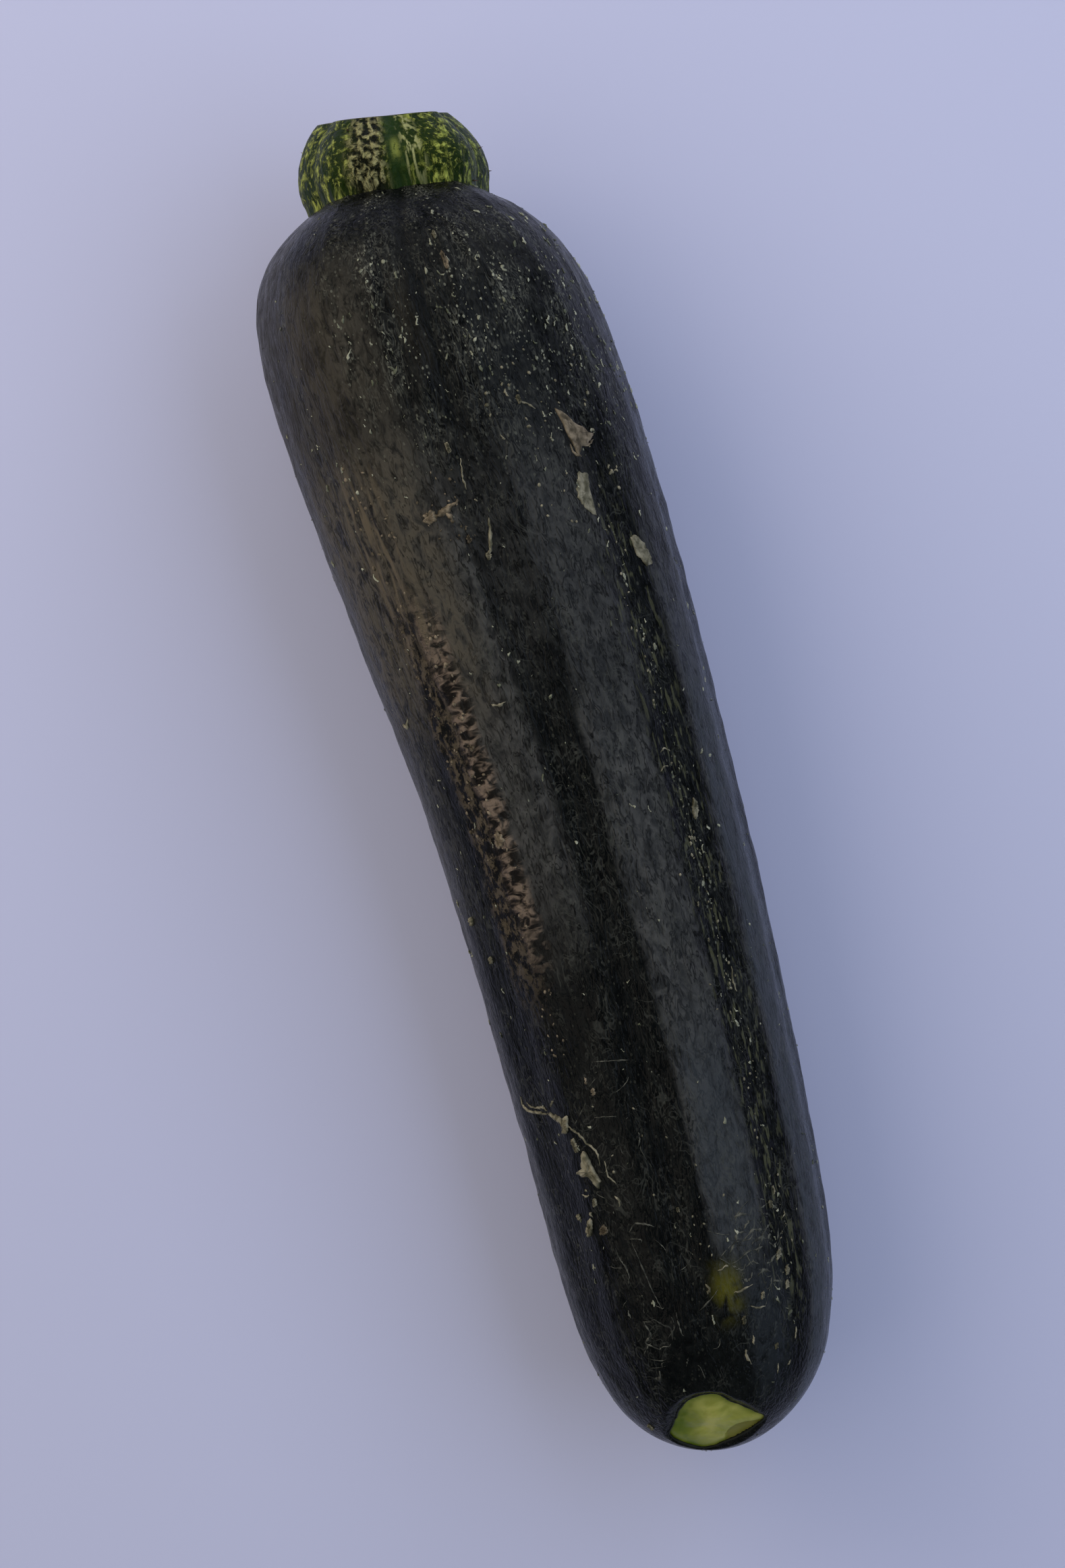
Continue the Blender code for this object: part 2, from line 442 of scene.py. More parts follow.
# Patches of colour on the skin and on the stem. Those of the stem count from where it begins.
SKIN_PATCHES = {
    # The edge patches mark a painted bluish grey reflection, along both sides and on a face near the flower
    # end.
    "edge": (
        (1.0, (-6, 114), (52, 84), 20, 2.4, (2, 10, 6, 14)),
        (0.3, (10, 60), (-94, -70), 6, 4, (4, 9, 4, 15)),
        (0.75, (28, 60), (8, 29), 9, 4, (4, 9, 5, 16)),
        (0.5, (8, 26), (16, 36), 5, 5),
    ),
    # The warm patches mark a painted warm highlight; the dusty ones a dusty film that is partly a painted
    # highlight.
    "warm_highlight": ((1.0, (112, 150), (-74, -20), 9, 6, (2, 12, 8, 13)), (0.5, (150, 172), (-60, -20), 6, 6)),
    "dust_and_highlight": (
        (1.0, (150, 173), (-54, -33), 5, 5),
        (0.8, (134, 182), (-100, -58), 12, 6),
        (0.6, (158, 170), (-10, -3), 4, 2),
    ),
    "yellow": ((1.0, (21, 27), (3, 14), 3, 4),),
    "grazed": ((1.0, (24, 33), (12, 37), 3, 6),),
    "streaked": ((1.0, (18, 134), (30, 48), 8, 4),),
}
STEM_PATCHES = {
    "smooth": ((1.0, (-2, 13), (-2, 11), 1, 3),),
    "beaded": ((1.0, (-2, 13), (-26, -4), 1, 5),),
    "lined": ((1.0, (1, 13), (9, 21), 3, 3),),
    "oval": ((1.0, (4.2, 7.6), (1.5, 6.5), 1.2, 2),),
}
BARE_SKIN = ((1.0, (148, 176), (-54, -33), 4, 4), (1.0, (132, 190), (-130, -58), 8, 6))


def furrows_between_sheen(station, angle):
    """1 in the dark green furrows and 0 on the faces between them, where a grey reflection is painted."""
    bent = angle + 1.7 * rough(station, angle, 14, 9, seed=8)
    underneath = 0.8 * blend(rib_phase(station, bent), -0.1, 0.4) * blend(np.abs(angle), 80, 92)
    return 1 - np.maximum(patches(station, bent, PAINTED_SHEEN_FACES), underneath)


def fleck_density(station, angle):
    """How thickly pale flecks are sown: densest near the stem, and in the grooves."""
    near_stem = blend(station, 130, 164)
    rows, valley = crown_rows(station, angle)
    bare = np.maximum(patches(station, angle, BARE_SKIN), valley)
    grooves = blend(-rib_phase(station, angle), 0.1, 0.9) * blend(station, 12, 30)
    body = 0.035 + 0.06 * grooves + 0.40 * zone(station, angle, (20, 136), (36, 42), 6, 2)
    right = zone(station, angle, (140, 172), (8, 62), 6, 8)
    crown = (0.36 + 0.30 * right + 0.65 * rows) * (1 - 0.85 * bare) * (1 - 0.6 * blend(station, 171, 180))
    patchy = np.clip(0.65 + 0.5 * rough(station, angle, 16, 7, seed=21), 0.1, 1.2)
    above_table = blend(np.abs(angle), 150, 120)
    return patchy * (body * (1 - near_stem) + crown * near_stem) * above_table


def make_fruit(surface):
    stations = spread_stations(GIRTH, FRUIT_RINGS)[1:]
    station, angle = ring_grid(stations, FRUIT_SIDES)
    count, last_ring = station.size, station.size - FRUIT_SIDES
    points = [skin(station, angle).reshape(-1, 3), press_scar(on_axis(0.0)), on_axis(JOINT_STATION)]
    faces = [
        *grid_faces(len(stations), FRUIT_SIDES),
        *fan(count, 0, FRUIT_SIDES, flip=False),
        *fan(count + 1, last_ring, FRUIT_SIDES, flip=True),
    ]
    fruit = mesh_piece("fruit_skin", np.concatenate(points), faces, surface)

    def with_ends(values, first, last):
        return np.concatenate([np.reshape(values, (count, -1)), [first], [last]])

    straight = np.stack([station, *around(angle, girth(GIRTH, station))], axis=-1)
    add_vector(fruit, "straight", with_ends(straight, [0, 0, 0], [JOINT_STATION, 0, 0]) * MM)
    zones = {name: patches(station, angle, rows) for name, rows in SKIN_PATCHES.items()}
    zones["ripples"], zones["strands"] = cork_zone(station, angle)
    zones["rows"], zones["valley"] = crown_rows(station, angle)
    zones["lumps"] = lump_zone(station, angle)
    zones["furrow"] = furrows_between_sheen(station, angle)
    zones["fleck"] = fleck_density(station, angle)
    zones["stem_end"] = blend(station, 130, 168) * (1 - 0.4 * blend(station, 171, 181))
    for name, values in zones.items():
        add_number(fruit, name, with_ends(values, [0.0], [0.0]))
    return fruit


def stem_skin(depth, angle):
    """Points on the stem, by their distance from its start. Its foot is tucked into the fruit."""
    station, phase = STEM_START + depth, shoulder_phase(angle)
    lumps = 0.16 * rough(station, angle, 1.6, 1.4, seed=31) + 0.14 * rough(station, angle, 5, 3.5, seed=32)
    ridges = STEM_RIB_HEIGHT * phase - 0.35 * np.clip(-phase, 0, 1) ** 6
    radius = girth(STEM_GIRTH, depth) + ridges + lumps * (0.4 + 0.3 * phase)
    return lay(station - STEM_TUCK * (1 - blend(depth, 0.0, 1.2)), *around(angle, radius)).reshape(-1, 3)


def shrunk(ring, share, back):
    """A smaller copy of a ring of points, a little further back along X."""
    middle = ring.mean(axis=0)
    return middle + (ring - middle) * share - np.array([back, 0, 0])


def make_stem(surface):
    rings, sides = STEM_RINGS, STEM_SIDES
    depth, angle = ring_grid(spread_stations(STEM_GIRTH, rings), sides)
    points = stem_skin(depth, angle)
    count = len(points)
    # The cut is a shallow hollow of two more rings round its middle.
    inner = shrunk(points[-sides:], CUT_RIM, 0.35)
    deep = shrunk(inner, CUT_FLOOR, 0.3)
    ends = [inner, deep, deep.mean(axis=0, keepdims=True), on_axis(STEM_START)]
    faces = [
        *grid_faces(rings + 2, sides),
        *fan(count + 2 * sides, (rings + 1) * sides, sides, flip=True),
        *fan(count + 2 * sides + 1, 0, sides, flip=False),
    ]
    stem = mesh_piece("stem_stub", np.concatenate([points, *ends]), faces, surface)
    profile = np.stack([STEM_START + depth, *around(angle, girth(STEM_GIRTH, depth))], axis=-1).reshape(-1, 3)
    rim = profile[-sides:]
    tail = [rim * [1, CUT_RIM, CUT_RIM], rim * [1, CUT_FLOOR, CUT_FLOOR], [[200, 0, 0]], [[0, 0, 0]]]
    add_vector(stem, "straight", np.concatenate([profile, *tail]) * MM)
    cut = [np.zeros(count - sides), np.full(sides, 0.35), np.ones(2 * sides + 1), [0]]
    add_number(stem, "cut", np.concatenate(cut))
    zones = {name: patches(depth, angle, rows) for name, rows in STEM_PATCHES.items()}
    zones["fleck"] = 0.15 + zone(depth, angle, (1, 9), (55, 125), 1, 8)  # where the thorns stand
    for name, values in zones.items():
        add_number(stem, name, np.concatenate([values.ravel(), np.zeros(2 * sides + 2)]))
    return stem


def flesh_height(share, across, upward, lobe):
    """The flesh's dome, with its lower lobe and two small hollows to the left."""
    bulge = np.exp(-((across + 0.3) ** 2 + (upward - 1.6) ** 2) / 5)
    hollow = np.exp(-((across + 3.6) ** 2 + (upward + 2.2) ** 2) / 1.2)
    small_hollow = np.exp(-((across + 1.8) ** 2 + (upward + 1.6) ** 2) / 0.5)
    places = np.stack([across / 2.4, upward / 2.4, np.full(across.shape, 3.0)], axis=-1)
    grain = noise_at(places.reshape(-1, 3), 3).reshape(across.shape)
    sunk = (0.5 * lobe + 0.30 * hollow + 0.22 * small_hollow) * (1 - share**6)
    return -0.16 + 0.62 * (1 - share**2) + 0.35 * bulge - sunk + 0.10 * grain


def make_flesh(surface):
    """The pale flesh where the flower was, with its edge tucked under the torn skin."""
    rings, sides = FLESH_RINGS, FLESH_SIDES
    turns = 2 * np.pi * np.arange(sides) / sides
    share, turn = np.meshgrid(np.linspace(1.0, 0.03, rings), turns, indexing="ij")
    distance = share * (SCAR.rim(turn) + 0.12)
    across, upward = distance * np.cos(turn), distance * np.sin(turn)
    fold = -0.35 + 0.12 * (across - 3) - 2.3 * np.exp(-np.maximum(0, across - 1.5) / 0.8)
    lobe = blend(fold - upward, -0.05, 0.45) * blend(across, 1.2, 1.9)
    height = flesh_height(share, across, upward, lobe)
    points = SCAR.place(distance, turn, height).reshape(-1, 3)
    under = SCAR.place(distance[0], turn[0], height[0] - 0.6)
    count = len(points)
    middle = points[-sides:].mean(axis=0, keepdims=True)
    bottom = under.mean(axis=0, keepdims=True)
    faces = [
        *grid_faces(rings, sides),
        *fan(count, (rings - 1) * sides, sides, flip=True),
        *[(count + 1 + (s + 1) % sides, (s + 1) % sides, s, count + 1 + s) for s in range(sides)],
        *fan(count + 1 + sides, count + 1, sides, flip=False),
    ]
    flesh = mesh_piece("scar_flesh", np.concatenate([points, middle, under, bottom]), faces, surface)
    greener = np.clip(blend(-across, 0.5, 5.5) + 0.8 * blend(share, 0.72, 1.0), 0, 1)
    for name, values in (("greener", greener), ("lobe", lobe)):
        add_number(flesh, name, np.concatenate([values.ravel(), np.zeros(sides + 2)]))
    return flesh


def make_lip(surface):
    """The torn edge of skin round the flesh."""
    sides, section = LIP_SIDES, LIP_SECTION
    turn = 2 * np.pi * np.arange(sides) / sides
    wobble = noise_at(np.stack([4 * np.cos(turn), 4 * np.sin(turn), np.ones(sides)], axis=-1), 3)
    rim = SCAR.rim(turn) + 0.10 * wobble
    thick = 0.13 + 0.06 * np.roll(wobble, 37)
    bends = [2 * math.pi * step / section for step in range(section)]
    rings = [
        SCAR.place(rim + 1.2 * thick * math.cos(bend), turn, 0.06 + thick * math.sin(bend)) for bend in bends
    ]
    faces = []
    for side in range(sides):
        for step in range(section):
            a, b = side * section + step, side * section + (step + 1) % section
            c, d = (b + section) % (sides * section), (a + section) % (sides * section)
            faces.append((d, c, b, a))
    return mesh_piece("scar_lip", np.stack(rings, axis=1).reshape(-1, 3), faces, surface)


# ---- Scabs, scratches, flecks and thorns ----


def smooth_path(corners, count, closed=False):
    """Many points on a rounded path through a few corners."""
    corners = np.array(corners, dtype=float)
    if closed:
        corners = np.concatenate([corners[-1:], corners, corners[:2]])
    else:
        corners = np.concatenate([2 * corners[:1] - corners[1:2], corners, 2 * corners[-1:] - corners[-2:-1]])
    spans = len(corners) - 3
    at = np.linspace(0, spans, count, endpoint=not closed)
    span = np.minimum(at.astype(int), spans - 1)
    t = (at - span)[:, None]
    p0, p1, p2, p3 = (corners[span + step] for step in range(4))
    round_path = p1 + 0.5 * t * (
        p2 - p0 + t * (2 * p0 - 5 * p1 + 4 * p2 - p3 + t * (3 * (p1 - p2) + p3 - p0))
    )
    return 0.5 * round_path + 0.5 * (p1 + (p2 - p1) * t)


class Crusts:
    """Thin closed crusts and raised scratches, gathered into one piece that lies on the skin."""

    def __init__(self, seed):
        self.rng = np.random.default_rng(seed)
        self.spots, self.lifts, self.faces, self.count = [], [], [], 0

    def collect(self, spots, lifts, *faces):
        self.faces += [[self.count + index for index in face] for part in faces for face in part]
        self.spots.append(np.reshape(spots, (-1, 2)))
        self.lifts.append(np.ravel(lifts))
        self.count += len(self.lifts[-1])

    def scab(self, outline, thick, ragged):
        """A crust with a ragged edge and an uneven top."""
        sides = SCAB_SIDES
        edge = smooth_path(outline, sides, closed=True)
        centre = np.mean(edge, axis=0)
        jag = self.rng.normal(0, ragged, sides)
        length = np.maximum(0.3, np.hypot(*((edge - centre) * [1, DEGREE]).T))
        edge = centre + (edge - centre) * (1 + (jag + np.roll(jag, 1)) / 2 / length)[:, None]
        shares = np.array([1.0, 0.93, 0.72, 0.45, 0.2])
        rise = np.array([-0.12, 0.75, 1.0, 0.8, 0.9])
        lifts = thick * rise[:, None] * (1 + 0.45 * self.rng.normal(0, 1, (5, sides)).clip(-1, 1))
        lifts[0] = -0.1
        spots = (centre + shares[:, None, None] * (edge - centre)).reshape(-1, 2)
        top, bottom = 5 * sides, 5 * sides + 1
        faces = [
            *grid_faces(5, sides),
            *fan(top, 4 * sides, sides, flip=False),
            *fan(bottom, 0, sides, flip=True),
        ]
        if np.cross(edge[1] - centre, edge[0] - centre) <= 0:  # the outline runs the other way round
            faces = [face[::-1] for face in faces]
        spots = np.concatenate([spots, [centre, centre]])
        self.collect(spots, np.concatenate([lifts.ravel(), [thick, -0.25]]), faces)

    def scratch(self, path, width, thick, uneven=0.35):
        """A raised line, thin at both ends."""
        length = sum(math.hypot(b[0] - a[0], (b[1] - a[1]) * DEGREE) for a, b in zip(path, path[1:]))
        count = max(8, int(length / 0.35))
        line = smooth_path(path, count)
        run = np.gradient(line * [1, DEGREE], axis=0)
        run /= np.maximum(1e-6, np.hypot(*run.T))[:, None]
        side = np.stack([-run[:, 1], run[:, 0] / DEGREE], axis=1)
        wide = 0.15 + 0.85 * np.sqrt(np.sin(np.pi * np.clip(np.linspace(0, 1, count), 0.02, 0.98)))
        wobble = 1 + uneven * self.rng.normal(0, 1, count).clip(-1.6, 1.6)
        half = side * (0.5 * width * wide * wobble)[:, None]
        line = line + side * (0.12 * width * self.rng.normal(0, 1, count))[:, None]
        tall = thick * wide * (1 + 0.3 * self.rng.normal(0, 1, count).clip(-1, 1))
        foot = np.full(count, -0.04)
        spots = np.stack([line - half, line, line + half, line], axis=1)
        lifts = np.stack([foot, tall, foot, foot - 0.12], axis=1)
        last = 4 * (count - 1)
        ends = [(3, 2, 1, 0), (last, last + 1, last + 2, last + 3)]
        self.collect(spots, lifts, grid_faces(count, 4), ends)

    def crumbs(self, stations, angles, count, size, thick):
        """Small crusts strewn over a stretch of skin."""
        bend = 2 * math.pi * np.arange(CRUMB_SIDES) / CRUMB_SIDES
        fans = [fan(CRUMB_SIDES + end, 0, CRUMB_SIDES, flip=bool(end)) for end in (0, 1)]
        for _ in range(count):
            middle = np.array([self.rng.uniform(*stations), self.rng.uniform(*angles)])
            long = self.rng.uniform(*size)
            wide = long * self.rng.uniform(0.4, 0.9)
            turn = self.rng.normal(0, 0.7)
            a, b = long * np.cos(bend), wide * np.sin(bend)
            x, y = a * math.cos(turn) - b * math.sin(turn), a * math.sin(turn) + b * math.cos(turn)
            corners = middle + np.stack([x, y / DEGREE], axis=1)
            lifts = [*[-0.05] * CRUMB_SIDES, thick, -0.2]
            self.collect(np.concatenate([corners, [middle, middle]]), lifts, *fans)

    def piece(self, name, surface):
        spots, lifts = np.concatenate(self.spots), np.concatenate(self.lifts)
        here, out = skin_frame(spots[:, 0], spots[:, 1])
        made = mesh_piece(name, here + out * lifts[:, None], self.faces, surface)
        face_outwards(made)
        return made


def keep_inside(piece, box):
    """Holds a piece within the plain solids' overall size."""
    places = np.empty(3 * len(piece.data.vertices))
    piece.data.vertices.foreach_get("co", places)
    places = np.clip(places.reshape(-1, 3), *box)
    piece.data.vertices.foreach_set("co", places.ravel())
    piece.data.update()


def face_outwards(piece):
    form = bmesh.new()
    form.from_mesh(piece.data)
    bmesh.ops.recalc_face_normals(form, faces=form.faces)
    form.to_mesh(piece.data)
    form.free()


# What lies on the skin, by station and angle. A line has its width and the corners of its path.
PALE_LINES = (
    (0.5, [(24.4, 0), (25, 1.3), (25.8, 0)]), (0.42, [(27.2, 6), (27.2, 8), (27.6, 9.5), (27.3, 10.5)]),
    (0.34, [(23.6, 11), (23.4, 13), (23.6, 15.5), (23.8, 19.5)]),
    (0.55, [(13, 14), (14.5, 12.2), (15.3, 12)]), (0.5, [(15.6, 16.2), (16.3, 16.3), (16.9, 16.5)]),
    (0.3, [(20.3, 24), (20.4, 20), (21, 17)]), (0.34, [(11.1, 34.6), (11.2, 35.8), (11.6, 36.4)]),
    (0.34, [(14.2, 39.2), (15, 39.8), (15.8, 40)]), (0.3, [(10.4, 28.2), (11, 28.6), (11.8, 28.6)]),
    (0.3, [(31, 40.6), (31.4, 41.8), (32, 42)]), (0.34, [(34.6, 38.4), (35, 39.2), (35.8, 39.4)]),
    (0.42, [(42, -44), (41.6, -41.5), (41.8, -40)]), (0.6, [(39, -42.4), (39.1, -41.6), (39.3, -40.8)]),
    (0.3, [(42.4, -41.6), (42.5, -41), (42.3, -40.4)]), (0.34, [(42.5, -26.5), (44, -29), (46, -29)]),
    (0.42, [(39.3, -27.4), (40.2, -27), (40.9, -28.4)]),
    (0.42, [(45.5, -31.5), (47, -31), (48, -32), (49, -34.8), (50.4, -37), (51.2, -39.5), (52, -42)]),
    (0.95, [(51.6, -43), (52.2, -44.6), (53, -46), (53.4, -48.4), (53.7, -50.4), (54, -52.8)]),
    (0.5, [(54, -52.5), (54.1, -56), (54.4, -60), (55, -66), (55.8, -68.5), (57, -68)]),
    (0.4, [(54.4, -53), (55, -55.5), (55.2, -61), (56, -65)]),
    (0.4, [(55.8, -46.6), (55.4, -48.4), (55, -50.4)]), (0.42, [(63.4, 41.6), (65, 41.4), (67, 41.6)]),
    (0.34, [(60.6, 36.2), (61.2, 36)]), (0.36, [(71.2, 33.4), (71.9, 33.6)]),
    (0.34, [(76.4, 32.2), (77.2, 32.7)]), (0.34, [(96, 30.5), (96.6, 33), (96.4, 35.4)]),
    (0.34, [(98.6, 33), (99, 35.6), (98.4, 38)]), (0.42, [(111.4, -21.6), (111, -19.4), (111.2, -16.4)]),
    (0.6, [(113, -62.5), (112, -65), (112.4, -68)]),
    (0.42, [(131, -6), (132, -4.5), (134, -3), (136, -2)]),
    (0.3, [(140.5, -6), (142.6, -5.6), (144.8, -4.6)]), (0.38, [(149, 24), (150, 21.5), (151, 18.5)]),
    (0.34, [(151.4, 16.6), (152, 16), (152.6, 16.2)]), (0.3, [(145.6, 10.8), (146, 10.4), (146.5, 10)]),
    (0.34, [(138.9, -4.6), (138.6, -3.6)]),
)
FAINT_LINES = (
    (0.36, [(18.5, -26), (19, -28.5), (19.8, -31.5), (20.3, -29.3), (21.2, -28), (22.2, -29),
        (22.9, -29.5)]),
    (0.3, [(22.9, -29.5), (22.6, -27), (22.8, -24.5), (22, -22), (21, -18.3), (19.5, -18.8),
        (18.6, -21)]),
    (0.26, [(18.6, -21), (18.8, -24), (18.5, -26)]),
    (0.5, [(14.6, -33), (14.2, -31.6), (14.5, -30), (15.5, -29.5)]),
    (0.34, [(15.3, -16), (15.9, -15.2), (16.5, -14)]),
    (0.34, [(23.6, -35), (24.2, -35.6), (24.8, -35.4)]),
    (0.26, [(28.5, -32), (29.5, -30.8), (31, -31.5), (32, -33), (33.8, -33.7)]),
    (0.2, [(24, -20), (26, -21.5), (28.5, -23), (31, -24.3), (34, -26)]),
    (0.26, [(35.4, -15), (36, -18), (36.5, -22.5), (35.5, -26)]),
)
TAN_LINES = (
    (0.9, [(138, -21.4), (138.2, -18), (138.6, -14), (139.5, -9.5)]),
    (0.55, [(138.4, -14.6), (137.4, -13.8), (136.6, -13.4)]), (0.4, [(135.2, -10.4), (135.8, -9.8)]),
    (0.6, [(141, 35.5), (141.3, 34), (141.7, 32.5), (143, 32.2)]),
    (0.75, [(146.4, 34), (145.6, 37), (144.4, 40), (143.6, 43)]),
    (0.45, [(142.4, 37.6), (142.4, 40.4), (143, 42.6)]), (0.45, [(57, -28.4), (58, -28)]),
)

# A crust has its height, how ragged it is, and the corners of its outline.
PALE_CRUSTS = (
    (0.3, 0.1, [(18.8, 12.6), (19.6, 12.2), (20, 13.6), (19.2, 14.2)]),
    (0.26, 0.1, [(21.4, 22.4), (22.2, 22.6), (22.4, 24), (21.6, 24)]),
    (0.24, 0.12, [(21.5, 36), (22.4, 36.2), (22.6, 37.6), (21.6, 37.8)]),
    (0.24, 0.12, [(23.3, 37), (24.3, 37), (24.5, 38.4), (23.4, 38.6)]),
    (0.2, 0.14, [(25.8, 33.4), (26.8, 33.6), (27.3, 36), (26.4, 36.2)]),
    (0.3, 0.08, [(14, 26.8), (14.6, 27), (14.7, 28.2), (14.1, 28.2)]),
    (0.26, 0.1, [(33, 35.4), (33.9, 35.5), (34, 36.7), (33.1, 36.8)]),
    (0.28, 0.06, [(38.5, -50.8), (39.2, -50.8), (39.3, -49.4), (38.5, -49.3)]),
    (0.4, 0.14, [(36, -46.4), (37, -45.4), (38.4, -43), (38.1, -41.6), (36.9, -42.6), (36, -44.6)]),
    (0.38, 0.08, [(40, -38.4), (40.2, -37), (41, -36.8), (41.2, -37.8), (40.6, -38.6)]),
    (0.42, 0.16, [(42.4, -34), (43.2, -32.5), (44.2, -33.6), (45.8, -34.6), (47.2, -35.4), (48, -37.2),
        (47, -38.9), (45.6, -40.4), (45.2, -43.2), (44.4, -41.4), (44.4, -37.8), (43.2, -35.4)]),
    (0.3, 0.14, [(48, -39.8), (49.2, -39.4), (50.1, -40.2), (49.6, -41.6), (48.2, -41.4)]),
    (0.36, 0.12, [(51, -45.4), (50.9, -43), (51.8, -41.4), (53.2, -40.2), (53.4, -41.8), (52.4, -44)]),
    (0.3, 0.08, [(36.5, -4.8), (37.2, -4.8), (37.2, -3.8), (36.5, -3.8)]),
    (0.26, 0.08, [(6.6, -57.6), (7.4, -57.4), (7.5, -55.8), (6.7, -55.6)]),
    (0.34, 0.12, [(88.2, 41), (89.8, 40.6), (91.2, 42.4), (90.4, 43.6), (88.8, 42.6)]),
    (0.34, 0.08, [(82.5, -66.8), (83.5, -66.8), (83.6, -65.2), (82.6, -65.2)]),
    (0.3, 0.08, [(76.6, -61.8), (77.4, -61.8), (77.4, -60.4), (76.6, -60.4)]),
    (0.3, 0.08, [(130.4, -6.8), (131.4, -6.9), (131.8, -5.2), (130.8, -5)]),
    (0.26, 0.06, [(145.8, -7.6), (147.2, -7.8), (147.4, -6.6), (146, -6.4)]),
    (0.16, 0.16, [(132.3, 34.2), (133.4, 30.7), (135, 28.6), (137.2, 29.8), (139, 32), (138.4, 35.8),
        (136.4, 34.6)]),
    (0.3, 0.06, [(150.1, 19), (151.2, 18.8), (151.4, 20), (150.3, 20.2)]),
    (0.26, 0.14, [(124, 49.6), (125.6, 46.8), (128.4, 45.8), (128.8, 48), (127.4, 50.6), (125.8, 52),
        (124.4, 52.4)]),
    (0.34, 0.06, [(175.4, 10.2), (176.4, 10.1), (176.6, 11.2), (175.6, 11.4)]),
)
TAN_CRUSTS = (
    (0.35, 0.2, [(137.2, -21.4), (138.2, -22.6), (139.2, -20.6), (138.8, -18), (137.6, -18.6)]),
    (0.3, 0.12, [(133.4, -10.8), (134.4, -11), (134.6, -9.8), (133.6, -9.6)]),
    (0.3, 0.08, [(55.3, -26.6), (56.2, -26.7), (56.3, -25.4), (55.4, -25.3)]),
    (0.34, 0.12, [(36, -38.8), (35.8, -36.4), (36.4, -34.8), (37.2, -35.8), (37, -38.2)]),
    (0.3, 0.08, [(170.8, 10.4), (173, 10.2), (173.6, 11.2), (172.2, 12), (170.8, 11.6)]),
    (0.32, 0.24, [(141, 33.8), (144, 32.6), (148.5, 30.4), (147.6, 33.4), (145.6, 36.2), (144.6, 39),
        (143.8, 42.8), (142.6, 40.6), (142.2, 37)]),
    (0.26, 0.16, [(92, -37), (93.4, -37.4), (94.4, -34.8), (93.2, -32.6), (92.2, -34)]),
)

# A dot has its station, its angle and its size.
PALE_DOTS = (
    (44.2, -26.2, 0.32), (46.5, -25, 0.26), (39.7, -12.5, 0.24), (48.1, -11.5, 0.26), (52.1, -12.3, 0.28),
    (47, -2.3, 0.26), (34.2, 0.7, 0.22), (35.4, 0.8, 0.24), (34, 4.6, 0.26), (31.4, 1.5, 0.24),
    (29.4, 0, 0.22), (29.5, 5, 0.24), (30.8, 4.6, 0.24), (42.2, 6.5, 0.24), (37, 14.8, 0.28),
    (65.6, 28.8, 0.26), (62, 29.5, 0.24), (81.5, 27.5, 0.26), (53.8, -28, 0.26), (149.4, 9, 0.36),
    (150.9, 9, 0.36), (152.5, 10, 0.36),
)

# Crumbs are strewn over stations and angles: how many, their sizes, and their height.
PALE_CRUMBS = (
    ((22, 132), (35, 43), 70, (0.12, 0.38), 0.2), ((83, 87), (35, 40), 14, (0.2, 0.42), 0.2),
    ((132, 158), (14, 50), 34, (0.15, 0.45), 0.2), ((134, 139), (45, 49), 9, (0.2, 0.5), 0.2),
)
TAN_CRUMBS = (
    ((78, 126), (-38, -31), 46, (0.15, 0.5), 0.22), ((90, 120), (-50, -40), 26, (0.15, 0.5), 0.22),
    ((122, 148), (-50, -34), 34, (0.15, 0.5), 0.2), ((134, 144), (-24, -8), 22, (0.12, 0.36), 0.22),
    ((57, 76), (-40, -32), 16, (0.15, 0.4), 0.22),
)

# Thin grazes tangled beside the yellow patch, and where short scuffs are strewn, and how many.
TANGLED_GRAZES = (
    [(27.8, 16), (28.3, 20), (28.3, 24), (28.3, 28)], [(30, 19), (31, 24), (30.8, 27), (30.5, 30)],
    [(31.5, 20), (32.3, 22.5), (32.5, 25)], [(26, 28), (25.8, 30), (26.4, 32.6), (27, 35), (28, 36.5)],
    [(26.4, 18), (26.9, 21), (26.2, 24)], [(29.2, 22), (29.6, 26), (29.2, 31), (30, 34)],
    [(24.6, 22), (25.2, 25.6), (24.6, 29)], [(31.6, 28), (32.6, 31), (32.2, 34)],
    [(22.4, 26), (23.2, 29.6), (22.8, 33)], [(29, 12), (30.4, 16), (31.4, 17), (31, 21)],
    [(27.2, 24), (28.8, 26), (30.6, 31), (31, 35)], [(33.4, 17), (33.8, 20), (33.2, 24)],
    [(28.6, 31), (27.8, 33), (28.6, 36), (30, 37.6)], [(25.2, 15), (24.4, 18), (25.4, 20.4)],
)
SCUFFS = (
    ((23, 35), (12, 38), 34), ((12, 34), (-34, 10), 16), ((36, 60), (-40, -10), 14),
)


def pale_marks():
    """Cream and grey-green crusts, hooks and scratches."""
    marks = Crusts(seed=11)
    for width, path in PALE_LINES:
        marks.scratch(path, width, 0.10 + 0.28 * width)
    for thick, ragged, outline in PALE_CRUSTS:
        marks.scab(outline, thick, ragged)
    for station, angle, size in PALE_DOTS:
        marks.crumbs((station, station), (angle, angle), 1, (size, size * 1.15), 0.24)
    for strewn in PALE_CRUMBS:
        marks.crumbs(*strewn)
    return marks.piece("pale_scabs", scab_finish("pale_scab", (0.085, 0.077, 0.045), (0.335, 0.300, 0.212)))


